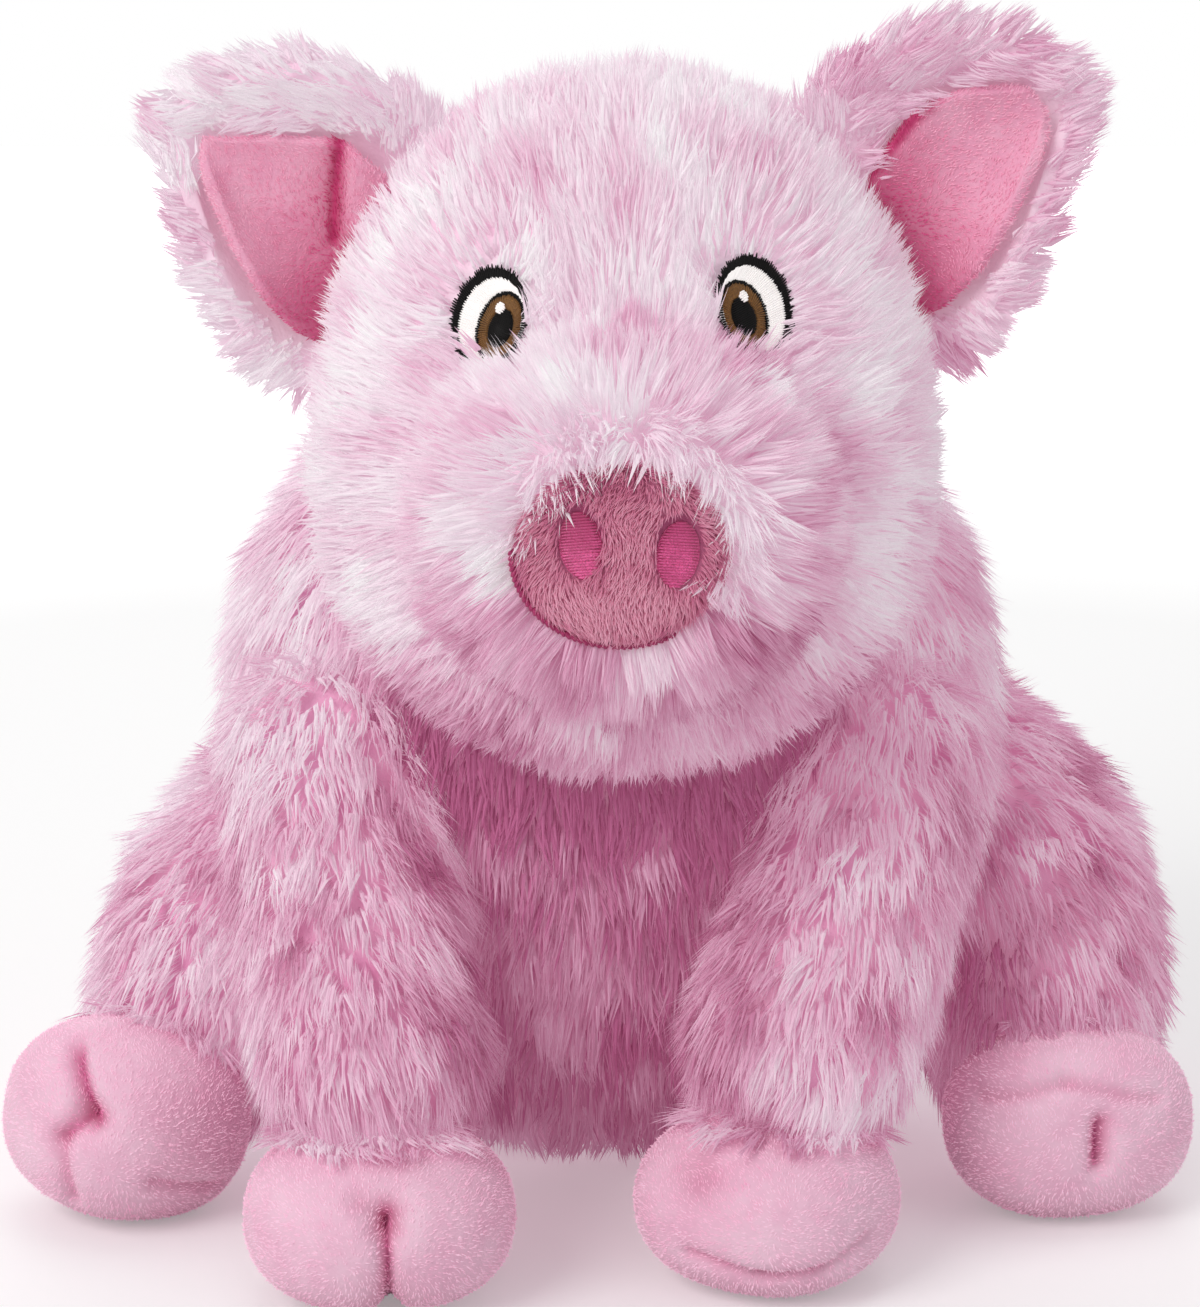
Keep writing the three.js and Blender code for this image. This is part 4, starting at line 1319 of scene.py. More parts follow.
def eye_spot(points, side):
    """Where points lie from an eye's middle, in half widths inwards and half heights upwards."""
    middle = eye_middle(side)
    turn = math.radians(eye_lean) * side_signs[side]
    right = points[:, 0] - middle.x
    up = points[:, 2] - middle.z
    u = (right * math.cos(turn) + up * math.sin(turn)) / eye_half_width
    v = (up * math.cos(turn) - right * math.sin(turn)) / eye_half_height
    return -u * side_signs[side], v


def lower_inner(inwards, upwards, reach):
    """1 at an eye's inner lower side, falling to 0 at its top and its outer side."""
    return np.clip((0.75 * inwards - upwards) / np.maximum(reach, 0.01) / 1.25, 0, 1)


def hides_eye(coat):
    """Which tufts would lie over an eye more than its real pile does."""
    before = tips_of(coat)[:, 1] < head_middle.y - 25 * mm
    hidden = np.zeros(len(before), bool)
    for side in side_signs:
        for share in (0.35, 0.7, 1.0):
            inwards, upwards = eye_spot(part_way(coat, share), side)
            reach = np.hypot(inwards, upwards)
            limit = 1.04 - 0.85 * lower_inner(inwards, upwards, reach)
            hidden |= before & (reach < limit)
    return hidden


def face_comb(place, facing):
    face_root = np.array([head_middle.x, head_middle.y - 50 * mm, pad_middle.z + 4 * mm])
    away = unit(place - face_root)
    behind = np.clip((place[:, 1] - head_middle.y) / (30 * mm), 0, 1)[:, None]
    direction = away * (1 - behind * 0.7) + np.array([0, 0.2, -1]) * behind
    for side in side_signs:
        inwards, upwards = eye_spot(place, side)
        reach = np.hypot(inwards, upwards)
        near = np.exp(-((np.maximum(reach - 1, 0) / 0.7) ** 2)) * (place[:, 1] < head_middle.y)
        near = near * (1 - lower_inner(inwards, upwards, reach))
        middle = np.array(eye_middle(side))
        direction = direction * (1 - near)[:, None] + unit(place - middle) * near[:, None]
    return along_surface(direction, facing)


def near_eye(place):
    """1 at the edge of an eye's stitches, falling to 0 half an eye away."""
    near = np.zeros(len(place))
    for side in side_signs:
        inwards, upwards = eye_spot(place, side)
        reach = np.hypot(inwards, upwards)
        own = np.exp(-((np.maximum(reach - 1, 0) / 0.45) ** 2)) * (place[:, 1] < head_middle.y)
        near = np.maximum(near, own * (1 - 0.7 * lower_inner(inwards, upwards, reach)))
    return near


# %% [markdown]
# The forms hide each other where they are sewn together, so no pile grows there. The head's pile is
# short and soft. Its dye is pale in streaks that run out from the bridge of the snout, and deeper
# over the eyes and down the middle of the forehead, where the pile parts along a seam. Under the
# chin and just behind the muzzle it is darkened with painted shade.

# %% Head pile
forms = {"trunk": Skin(trunk_bag), "head": Skin(head_bag), "muzzle": Skin(muzzle_bag)}
forms.update({leg: Skin(bag) for leg, bag in leg_bags.items()})
foot_forms = {name: Skin(foot) for name, foot in feet.items()}
pile_surface = 3 * mm
square_mm = mm**2
tufts_per_square_mm = {
    "head": 0.23,
    "muzzle": 0.44,
    "trunk": 0.16,
    "front_leg": 0.2,
    "hind_leg": 0.17,
    "ear": 0.3,
}
# What the head's dye is made of: its plain level, painted shade under the chin and just behind the
# muzzle, and deeper dye over the eyes and along the parting.
head_dye_and_shade = {"plain": 0.28, "painted_shade_below": 0.42, "painted_shade_behind_muzzle": 0.1, "brow": 0.2, "parting": 0.24}
parting_half_width = 1.7


def open_roots(name, density, piled, smooth=()):
    """Roots whose pile would show: not deep in piled forms, and hardly in smooth ones."""
    place, facing = forms[name].spaced(density / square_mm)
    surface = place + facing * pile_surface
    keep = np.ones(len(place), bool)
    for other in piled:
        keep &= forms[other].depth_of(surface) < pile_surface
    for other in smooth:
        keep &= other.depth_of(surface) < pile_surface / 3
    return place[keep], facing[keep]


def streaks_from(place, centre, long, count, seed):
    """Noise in streaks that run out from a centre, as seen from the front."""
    away = place - centre
    turn = np.arctan2(away[:, 0], away[:, 2]) * count / 6
    reach = np.linalg.norm(away, axis=1) / long
    return cloud_at(np.stack([turn, reach, np.zeros(len(place))], 1), 1, seed)


def brow_patches(place):
    """1 in the pinker patch over each eye, falling to 0 around it."""
    patches = np.zeros(len(place))
    for side, sign in side_signs.items():
        middle = eye_middle(side) + Vector((-3 * sign, 0, 17)) * mm
        gap = np.hypot(*in_oval(place, middle, 9 * mm, 12 * mm))
        patches = np.maximum(patches, np.exp(-(gap**2)))
    return patches


place, facing = open_roots("head", tufts_per_square_mm["head"], ["trunk", "muzzle"])
bridge = np.array([head_middle.x, head_middle.y - 55 * mm, pad_middle.z + 14 * mm])
in_front = np.clip((head_middle.y - place[:, 1]) / (30 * mm), 0, 1)
# Painted shade where the head faces down, and just behind the muzzle.
painted_shade_below = np.clip(-facing[:, 2] * 1.6, 0, 1)
painted_shade_behind_muzzle = np.array([forms["muzzle"].tree.find_nearest(spot)[3] for spot in place.tolist()])
painted_shade_behind_muzzle = np.exp(-((painted_shade_behind_muzzle / (7 * mm)) ** 2))
beside_eye = near_eye(place)
streaks = streaks_from(place, bridge, 26 * mm, 40, 33) * in_front
clouds = 0.3 * cloud_at(place, 14 * mm, 2) + 0.1 * cloud_at(place, 5 * mm, 3) + 0.22 * streaks
from_parting = (place[:, 0] - head_middle.x) / mm + 2.5 * cloud_at(place, 9 * mm, 22)
parting = np.exp(-((from_parting / parting_half_width) ** 2)) * in_front
parting = parting * np.clip((place[:, 2] - bridge[2] - 12 * mm) / (10 * mm), 0, 1)
dye = head_dye_and_shade["plain"] + clouds + head_dye_and_shade["painted_shade_below"] * painted_shade_below
dye = dye + head_dye_and_shade["painted_shade_behind_muzzle"] * painted_shade_behind_muzzle
dye = dye + head_dye_and_shade["brow"] * brow_patches(place) * in_front + head_dye_and_shade["parting"] * parting
coat = {
    "place": place,
    "facing": facing,
    "comb": face_comb(place, facing),
    "length": (11 + 1.5 * cloud_at(place, 8 * mm, 1)) * mm * (1 - 0.35 * beside_eye),
    "lean": 60 - 24 * beside_eye + 7 * cloud_at(place, 9 * mm, 13),
    "dye": dye,
}
coat = chosen(coat, ~hides_eye(coat))
head_style = style_of(broad=3, broad_width=0.5 * mm, fine=5, gather=0.35, tuft=1.6 * mm, drift=18)
head_style.update(lean_spread=4, ruffle=6, lock=4.5 * mm, lock_pull=0.3, lock_dye=0.04)
left = coat["place"][:, 0] > head_middle.x
plant_tufts("head_pile_left", "head", chosen(coat, left), head_style)
plant_tufts("head_pile_right", "head", chosen(coat, ~left), head_style)


# %% [markdown]
# Round the snout pad the pile is longest and sprays outwards like petals: straight forwards beside
# the pad, where it hides the pad's rim, then sideways, then back over the cheeks. Above the pad and
# to its right in the picture it leans in and lies a little over the pad. Below the pad it keeps
# clear of the mouth's seam, and no tuft runs through the pad.

# %% Muzzle pile
mouth_turns = (0.49, 0.84)
# How far outside the pad's rim pile still lies over the pad, in pad radii.
pad_cover_reach = 0.5
# What the muzzle's dye is made of: its plain level, paler pile over the pad, and painted shade on
# its low side, on the pig's left and at its back.
muzzle_dye_and_shade = {"plain": 0.32, "covers_pad": -0.14, "low": 0.34, "right": 0.16, "back": 0.1}


def towards(direction, facing):
    """The comb and the lean, in degrees, of pile that stands in a given direction."""
    direction = unit(direction)
    lean = np.degrees(np.arccos(np.clip((direction * facing).sum(1), -1, 1)))
    return along_surface(direction, facing), np.clip(lean, 5, 82)


def round_pad(place):
    """Where places lie from the pad's middle: their reach in pad radii, and their turn, 0 to 1."""
    right, up = in_oval(place, pad_middle, pad_half_width, pad_half_height)
    return np.hypot(right, up), np.arctan2(up, right) / (2 * math.pi) % 1


def pierces(form, coat):
    """Which tufts would run through a form."""
    inside = np.zeros(len(coat["place"]), bool)
    for share in (0.55, 0.8, 1.0):
        inside |= form.depth_of(part_way(coat, share)) > 0.2 * mm
    return inside


def hides_mouth(coat):
    """Which tufts would lie over the mouth's seam."""
    hidden = np.zeros(len(coat["place"]), bool)
    for share in (0.5, 1.0):
        reach, turn = round_pad(part_way(coat, share))
        hidden |= (reach < 1.1) & (turn > mouth_turns[0] + 0.02) & (turn < mouth_turns[1] - 0.02)
    return hidden


pad_form = Skin(snout)
place, facing = open_roots("muzzle", tufts_per_square_mm["muzzle"], ["head"], [pad_form])
from_axis = (place - np.array(pad_middle)) * np.array([1, 0, 1])
radial = unit(from_axis)
reach = np.linalg.norm(from_axis, axis=1)
low_side = np.clip(-radial[:, 2] * 1.5, 0, 1)
beside_pad = np.clip(1 - (reach - pad_half_height) / (9 * mm), 0, 1)
beside_pad = beside_pad * (place[:, 1] < pad_front + 22 * mm) * (1 - 0.75 * low_side)
back = np.clip((place[:, 1] - pad_front - 10 * mm) / (24 * mm), 0, 1)
above = np.clip(radial[:, 2], 0, 1)
covers_pad = np.clip(0.4 + radial @ np.array([0.6, 0, 0.55]), 0, 1)
covers_pad = covers_pad * np.clip(1 - (round_pad(place)[0] - 1) / pad_cover_reach, 0, 1)
forwards = np.array([[0, -1, 0]])
spray = radial * (0.85 - 0.5 * beside_pad - (0.7 + 0.15 * above) * covers_pad)[:, None]
spray = spray + forwards * (0.35 + 0.65 * beside_pad - 0.75 * back)[:, None]
spray = spray + np.array([0, 0, -0.12])
comb, lean = towards(spray, facing)
# Painted shade on the pig's left side.
painted_shade_right = np.clip((place[:, 0] - pad_middle.x) / (30 * mm), 0, 1)
clouds = 0.32 * cloud_at(place, 9 * mm, 5) + 0.18 * cloud_at(place, 4 * mm, 6)
dye = muzzle_dye_and_shade["plain"] + clouds * (1 - 0.5 * covers_pad)
# Paler pile over the pad; painted shade on the low side, on the pig's left and at the back.
dye = dye + muzzle_dye_and_shade["covers_pad"] * covers_pad + muzzle_dye_and_shade["low"] * low_side
dye = dye + muzzle_dye_and_shade["right"] * painted_shade_right + muzzle_dye_and_shade["back"] * back * (1 - above)
length = 13 - 2.5 * back + 3 * cloud_at(place, 5 * mm, 4) - 1.5 * beside_pad
coat = {
    "place": place,
    "facing": facing,
    "comb": comb,
    "length": (length + covers_pad * above) * mm,
    "lean": np.minimum(lean, 72) + 12 * cloud_at(place, 6 * mm, 12) * (1 - beside_pad),
    "dye": dye,
    "loose": 0.7 * beside_pad * above,
}
coat = chosen(coat, ~hides_eye(coat) & ~hides_mouth(coat) & ~pierces(pad_form, coat))
muzzle_style = style_of(broad=3, broad_width=0.54 * mm, fine=7, lean_spread=5, drift=30)
muzzle_style.update(gather=0.55, lock=5.5 * mm, lock_pull=0.5, lock_dye=0.07)
front = coat["place"][:, 1] < pad_front + 22 * mm
plant_tufts("muzzle_pile_front", "head", chosen(coat, front), muzzle_style)
plant_tufts("muzzle_pile_back", "head", chosen(coat, ~front), muzzle_style)


# %% [markdown]
# The trunk's pile hangs down all round. The belly lies in the shade of the head and between the
# legs, and painted shade darkens it there; the pig's left side has painted shade too.

# %% Trunk pile
legs = list(leg_joint)
hanging_streaks = np.array([1, 1, 0.4])
# What the trunk's dye is made of: its plain level, and the painted shade that the belly, the place
# under the head and the pig's left side add to it.
trunk_dye_and_shade = {"plain": 0.36, "belly": 0.48, "painted_shade_under_head": 0.5, "right": 0.12}
# How far the belly's painted shade reaches sideways and up, and where it is deepest, under the
# head.
belly_half_width = 46 * mm
belly_top = 140 * mm
under_head_level = 96 * mm
under_head_reach = 15 * mm
smooth = list(foot_forms.values())
place, facing = open_roots("trunk", tufts_per_square_mm["trunk"], ["head", *legs], smooth)
keep = (place[:, 2] > 2 * mm) & (facing[:, 2] > -0.9)
place, facing = place[keep], facing[keep]
axis = np.array([seat["pos_m"][0], seat["pos_m"][1], 0])
outwards = unit((place - axis) * np.array([1, 1, 0]))
front = np.clip(-facing[:, 1] * 1.3, 0, 1)
front = front * np.clip((belly_top - place[:, 2]) / (30 * mm), 0, 1)
middle_share = np.exp(-(((place[:, 0] - axis[0]) / belly_half_width) ** 4))
painted_shade_under_head = np.exp(-(((place[:, 2] - under_head_level) / under_head_reach) ** 2))
# Painted shade on the pig's left side.
painted_shade_right = trunk_dye_and_shade["right"] * np.clip((place[:, 0] - axis[0]) / (30 * mm), 0, 1)
painted_shade_right = painted_shade_right * (1 - middle_share * front)
clouds = 0.34 * cloud_at(place, 13 * mm, 8) * (1 - 0.5 * front * middle_share)
clouds = clouds + 0.14 * cloud_at(place * hanging_streaks, 5 * mm, 9)
# Painted shade on the belly, deepest under the head.
belly = (trunk_dye_and_shade["belly"] + trunk_dye_and_shade["painted_shade_under_head"] * painted_shade_under_head) * front * middle_share
near_floor = np.clip((place[:, 2] + 4 * mm) / (14 * mm), 0.5, 1)
coat = {
    "place": place,
    "facing": facing,
    "comb": along_surface(outwards * 0.35 + np.array([0, 0, -1]), facing),
    "length": (12 + 2.5 * cloud_at(place, 9 * mm, 7)) * mm * near_floor,
    "lean": 58 + 8 * cloud_at(place, 10 * mm, 14),
    "dye": trunk_dye_and_shade["plain"] + belly + painted_shade_right + clouds,
}
trunk_style = style_of(tuft=2 * mm, broad=4, fine=5, broad_width=0.48 * mm)
trunk_style.update(lock=6 * mm, lock_pull=0.3)
front = coat["facing"][:, 1] < 0.1
plant_tufts("trunk_pile_front", "trunk", chosen(coat, front), trunk_style)
plant_tufts("trunk_pile_back", "trunk", chosen(coat, ~front), trunk_style)


# %% [markdown]
# A leg's pile runs along the leg and ends in a fringe over the foot, so the direction at a root is
# that of the leg's own line at its nearest point. The furry cloth reaches a little way down over
# the foot, so the top of the foot grows the last of the fringe.

# %% Leg pile
fringe_reach = {"front": 20 * mm, "hind": 18 * mm}
fringe_above = 8 * mm


def foot_of_leg(leg):
    """The name of the foot at the end of a leg."""
    return leg.replace("_leg", "") + "_foot"


def along_line(line, points, steps=24):
    """Direction of a leg's line at the point of it that is nearest to each root."""
    shares = np.linspace(0, 1.25, steps)
    spots, ways = zip(*[line_point(line, share) for share in shares])
    gaps = np.linalg.norm(points[:, None] - np.array(spots)[None], axis=2)
    return np.array(ways)[gaps.argmin(axis=1)]


# Each leg's dye, how much its shoulder is lightened with painted light, and how much higher the
# fringe's edge is for each millimetre to the right of the foot's middle.
leg_looks = {
    "front_leg_left": {"dye": 0.55, "pale_shoulder": 0.02, "fringe_slope": -0.45},
    "front_leg_right": {"dye": 0.56, "pale_shoulder": 0.2, "fringe_slope": 0.4},
    "hind_leg_left": {"dye": 0.64, "pale_shoulder": 0, "fringe_slope": 0},
    "hind_leg_right": {"dye": 0.5, "pale_shoulder": 0, "fringe_slope": 0},
}
# A leg's inner side, towards the trunk, is darkened with painted shade.
inner_painted_shade = 0.25
shoulder_level = 78 * mm
shoulder_reach = 26 * mm
leg_style = style_of(tuft=1.8 * mm, broad=4, fine=5, broad_width=0.44 * mm)
leg_style.update(lock_pull=0.32, lock_dye=0.04)
for leg, looks in leg_looks.items():
    kind = leg.split("_")[0]
    density = tufts_per_square_mm[f"{kind}_leg"]
    foot_name = foot_of_leg(leg)
    others = ["trunk", "head", "muzzle"] + [other for other in legs if other != leg]
    place, facing = open_roots(leg, density, others, [foot_forms[foot_name]])
    wrist = np.array(leg_line(leg)[2])
    fringe_place, fringe_facing = foot_forms[foot_name].spaced(density / square_mm)
    foot_middle = foot_forms[foot_name].points.mean(axis=0)
    from_middle = fringe_place - foot_middle
    keep = from_middle[:, 2] > fringe_above + looks["fringe_slope"] * from_middle[:, 0]
    keep &= np.linalg.norm(fringe_place - wrist, axis=1) < fringe_reach[kind]
    keep &= forms[leg].depth_of(fringe_place + fringe_facing * 2 * mm) < 1 * mm
    on_foot = np.concatenate([np.zeros(len(place)), np.ones(keep.sum())])
    place = np.concatenate([place, fringe_place[keep]])
    facing = np.concatenate([facing, fringe_facing[keep]])
    comb = along_surface(along_line(leg_line(leg), place) + np.array([0, -0.15, -0.35]), facing)
    inner = np.clip(-facing[:, 0] * np.sign(place[:, 0]), 0, 1)
    shoulder = np.clip((place[:, 2] - shoulder_level) / shoulder_reach, 0, 1)
    clouds = 0.36 * cloud_at(place, 12 * mm, 20)
    clouds = clouds + 0.12 * cloud_at(place * hanging_streaks, 5 * mm, 21)
    length = (11.5 + 2.5 * cloud_at(place, 8 * mm, 10 + legs.index(leg))) * mm
    length = length * np.clip((place[:, 2] + 3 * mm) / (12 * mm), 0.4, 1)
    # Painted shade on the inner side, and painted light on the shoulder.
    dye = looks["dye"] + inner_painted_shade * inner - looks["pale_shoulder"] * shoulder
    coat = {
        "place": place,
        "facing": facing,
        "comb": comb,
        "length": length * (1 - 0.2 * on_foot),
        "lean": 58 + 8 * cloud_at(place, 9 * mm, 15) + 10 * on_foot,
        "dye": dye + clouds * (1 - 0.5 * shoulder),
    }
    plant_tufts(f"{leg}_pile", leg, coat, leg_style)


# %% [markdown]
# The back of an ear is furry, and its pile sticks out past the rim in pointed locks, which frame
# the lining. So pile grows on both faces of the leaf, but not where the lining lies.

# %% Ear pile
# Each ear's dye; the pig's left ear is darker with painted shade.
ear_dye_and_side_shade = {"left": 0.47, "right": 0.25}
for side, cloth in ear_backs.items():
    skin = Skin(cloth)
    place, facing = skin.spaced(tufts_per_square_mm["ear"] / square_mm)
    lining = Skin(ear_linings[side])
    hinge = np.array(joint_place[f"ear_{side}_fold"])
    surface = (place + facing * 2 * mm).tolist()
    covered = np.array([lining.tree.find_nearest(spot)[3] for spot in surface])
    rays = [(Vector(spot), Vector(way), 12 * mm) for spot, way in zip(place, facing)]
    under_lining = np.array([lining.tree.ray_cast(*ray)[0] is not None for ray in rays])
    keep = (facing[:, 1] > -0.2) | (~under_lining & (covered > 0.7 * mm))
    keep &= forms["head"].depth_of(place) < 1 * mm
    place, facing, covered = place[keep], facing[keep], covered[keep]
    outwards = unit((place - hinge) * np.array([1, 0.2, 1]))
    beside_lining = np.exp(-covered / (3 * mm)) * (facing[:, 1] < 0)
    nearest = np.array([lining.tree.find_nearest(spot)[0] for spot in place.tolist()])
    over_lining = unit(nearest - place) * (1.6 * beside_lining)[:, None]
    clouds = 0.2 * cloud_at(place, 9 * mm, 31) + 0.08 * cloud_at(place, 4 * mm, 32)
    sideways = np.array([0.25 * side_signs[side], 0, 0])
    coat = {
        "place": place,
        "facing": facing,
        "comb": along_surface(outwards + sideways + over_lining, facing),
        "length": (9.5 + 3 * cloud_at(place, 5 * mm, 30)) * mm * (1 - 0.3 * beside_lining),
        "lean": 62 - 34 * beside_lining + 6 * cloud_at(place, 7 * mm, 16),
        "dye": ear_dye_and_side_shade[side] + clouds,
    }
    ear_style = style_of(lean_spread=5, tuft=1.9 * mm, broad=4, fine=5, broad_width=0.48 * mm)
    ear_style.update(drift=18, gather=0.6, lock_pull=0.6)
    plant_tufts(f"ear_{side}_pile", f"ear_{side}", coat, ear_style)


# %% [markdown]
# Velvet has a nap too, only a millimetre or two of it. The same strands, short, fine and dense,
# give the feet, the ear linings, the snout pad and the tail their bloom and their soft edge.

# %% Velvet nap
# Each nap's glow, given last or left as usual, is painted light.
nap_root_until = (0.1, 0.8)
foot_nap = pile_finish(
    "foot_nap",
    [(251, 212, 230), (246, 194, 218), (232, 146, 188), (204, 80, 136)],
    [(250, 210, 229), (245, 190, 215), (228, 134, 180), (192, 66, 124)],
    nap_root_until,
    0.18,
)
ear_nap = pile_finish(
    "ear_nap",
    [(252, 204, 222), (246, 176, 204), (228, 104, 158), (196, 40, 106)],
    [(249, 188, 213), (240, 152, 188), (216, 80, 138), (180, 32, 96)],
    nap_root_until,
)
snout_nap = pile_finish(
    "snout_nap",
    [(240, 184, 204), (226, 150, 178), (196, 94, 138), (150, 40, 92)],
    [(210, 124, 156), (194, 98, 134), (160, 60, 104), (124, 30, 74)],
    nap_root_until,
)
# How a nap's strands differ among themselves, how they lie, and what their dye is made of.
nap_swirl = 1.2
nap_sway = 0.25
nap_lean_spread = 10
nap_sunk = 0.3 * mm
nap_flatness = 0.6
nap_window = 0.004
nap_dye = {"plain": 0.12, "clouds": 0.24, "specks": 0.2, "chance": 0.06}
# Strands to the square millimetre, their length, width and lean, and how much of the cloth's
# painted shade, kept in its depth attribute, goes into their dye.
nap_styles = {
    "foot": {"density": 1.8, "length": 1.1 * mm, "width": 0.13 * mm, "lean": 60, "deep_dye": 0.6},
    "ear": {"density": 2.4, "length": 1.3 * mm, "width": 0.14 * mm, "lean": 60, "deep_dye": 0.9},
    "snout": {"density": 6, "length": 2.6 * mm, "width": 0.15 * mm, "lean": 60, "deep_dye": 0.5},
}


def away_from(middle):
    """A way to comb a nap: outwards from a point."""
    def comb(place):
        return unit(place - middle)
    return comb


def plant_nap(name, body, cloth, nap, comb_from, finish, slot, hidden_in=(), keep_at=None):
    """Short even nap over a cloth; its dye takes the painted shade in the cloth's depth attribute.
    """
    skin = Skin(cloth)
    depth = np.zeros(len(cloth.data.vertices), np.float32)
    cloth.data.attributes["depth"].data.foreach_get("value", depth)
    place, facing = skin.scatter(nap["density"] / square_mm)
    keep = np.ones(len(place), bool) if keep_at is None else keep_at(place)
    for form in hidden_in:
        keep &= form.depth_of(place) < 0.5 * mm
    place, facing = place[keep], facing[keep]
    nearest = np.array([skin.tree.find_nearest(spot)[2] for spot in place.tolist()])
    own_painted_shade = depth[skin.corners[nearest]].mean(axis=1)
    swirl = np.stack([cloud_at(place, 9 * mm, 40 + k) for k in range(3)], 1)
    comb = along_surface(comb_from(place) + swirl * nap_swirl, facing)
    side = np.cross(facing, comb)
    count = len(place)
    tilt = np.radians(nap["lean"] + nap_lean_spread * generator.normal(size=(count, 1)))
    way = unit(comb + side * nap_sway * generator.normal(size=(count, 1)))
    reach = nap["length"] * (0.75 + 0.5 * generator.random((count, 1)))
    root = place - facing * nap_sunk
    tip = root + (way * np.sin(tilt) + facing * np.cos(tilt)) * reach
    middle = root + (way * np.sin(tilt * 0.5) + facing * np.cos(tilt * 0.5)) * reach * 0.5
    # The cloth's painted shade goes into the nap's dye.
    dye = nap_dye["plain"] + own_painted_shade * nap["deep_dye"]
    dye = dye + nap_dye["clouds"] * cloud_at(place, 11 * mm, 44)
    dye = dye + nap_dye["specks"] * cloud_at(place, 2.5 * mm, 45)
    dye = dye + nap_dye["chance"] * generator.normal(size=count)
    width = nap["width"] * (0.8 + 0.4 * generator.random(count))
    shape = (width, np.full(count, nap_flatness), np.full(count, nap_window))
    piece = pile_piece(name, root, middle, tip, facing, shape, dye, finish)
    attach(piece, body)


for leg in legs:
    foot_name = foot_of_leg(leg)
    comb = away_from(foot_forms[foot_name].points.mean(axis=0) - np.array([0, 30 * mm, 0]))
    looks = (nap_styles["foot"], comb, foot_nap, "velvet")
    plant_nap(f"{foot_name}_nap", leg, feet[foot_name], *looks, [forms[leg]])
for side, lining in ear_linings.items():
    comb = away_from(np.array(joint_place[f"ear_{side}_fold"]))
    looks = (nap_styles["ear"], comb, ear_nap, "ear_lining")
    plant_nap(f"ear_{side}_nap", f"ear_{side}", lining, *looks, [forms["head"]])


# %% [markdown]
# Satin stitches are threads laid side by side. One stitch is a slim capsule; it is repeated over
# each patch and pressed onto the cloth. Bands, such as an eye's outline, have their stitches across
# the band; solid ovals have theirs in rows. A thin lens of the same thread lies under them.

# %% Stitches
def thread_finish(name, colour, deep, sheen, gloss=0.4, glow=0, painted_shade_heights=None):
    """Twisted thread; between two heights, if given, it turns to its deep colour as painted shade.
    """
    colour, deep = linear(*colour), linear(*deep)
    material, start = new_finish(name)
    fibre = blotches(start, 0.25 * mm, 2).between(0.3, 0.7)
    patches = blotches(start, 2.5 * mm, 1).between(0.4, 0.6)
    twist = fibre.mix(deep, colour)
    shade = (patches * 0.35).mix(twist, deep)
    # Painted shade: darker towards the top between the two heights.
    if painted_shade_heights:
        place = start.node("ShaderNodeTexCoord").sibling("Object")
        height = start.node("ShaderNodeSeparateXYZ", {}, {"Vector": place}).sibling("Z")
        shade = height.between(*painted_shade_heights).mix(shade, deep)
    sockets = {
        "Base Color": shade,
        "Roughness": 0.35 + 0.15 * fibre,
        "Sheen Weight": sheen,
        "Specular IOR Level": gloss,
        # The glow is painted light.
        "Emission Color": shade,
        "Emission Strength": glow,
    }
    close_principled(start, sockets)
    return material


nostril_painted_shade = [
    nostril_middles["left"].z + share * nostril_half_height for share in (-0.1, 1.3)
]
# Each thread's colour, its deep colour, its sheen, its gloss and its glow, which is painted light;
# for the magenta, the heights over which it darkens upwards as painted shade, which leaves its
# lower part as a painted highlight.
thread_looks = {
    "black": ((14, 11, 12), (5, 4, 4), 0, 0.12),
    "white": ((254, 252, 250), (240, 235, 233), 0.1, 0.4, 0.2),
    "brown": ((142, 100, 50), (92, 58, 24), 0.05, 0.25),
    "magenta": ((248, 100, 170), (158, 14, 84), 0.3, 0.7, 0.1, nostril_painted_shade),
    "seam": ((196, 74, 124), (150, 40, 90), 0.1, 0.2),
}
threads = {name: thread_finish(f"{name}_thread", *look) for name, look in thread_looks.items()}


def stitch_template():
    """A capsule of unit half length and half width: a ball whose ends are made blunt."""
    bm = bmesh.new()
    bmesh.ops.create_uvsphere(bm, u_segments=6, v_segments=5, radius=1)
    bmesh.ops.rotate(bm, verts=bm.verts, matrix=Matrix.Rotation(math.pi / 2, 3, "Y"))
    for vert in bm.verts:
        vert.co.x = math.copysign(abs(vert.co.x) ** 0.5, vert.co.x)
    return taken_apart(bm)


stitch_corners, stitch_faces = stitch_template()


def loose_piece(name, points, faces, thread):
    """A smooth mesh from points and faces, in one thread's finish."""
    mesh = bpy.data.meshes.new(name)
    mesh.from_pydata(points, [], faces)
    bm = bmesh.new()
    bm.from_mesh(mesh)
    bpy.data.meshes.remove(mesh)
    bmesh.ops.recalc_face_normals(bm, faces=bm.faces)
    piece = new_piece(name, bm)
    piece.data.materials.append(threads[thread])
    return piece


lens_half_thickness = 0.22 * mm
stitch_flatness = 0.8


def add_stitch(points, faces, middle, along, side, out):
    """Adds a stitch with that middle, half length, half width and half height."""
    first = len(points)
    for corner in stitch_corners:
        points.append((middle + along * corner[0] + side * corner[1] + out * corner[2])[:])
    faces.extend([first + k for k in face] for face in stitch_faces)


def draped(tree, x, z, lift):
    """The point that far in front of a form, at a place seen from the front."""
    spot, facing, _, _ = tree.ray_cast(Vector((x, -1, z)), Vector((0, 1, 0)))
    return spot + facing * lift, facing


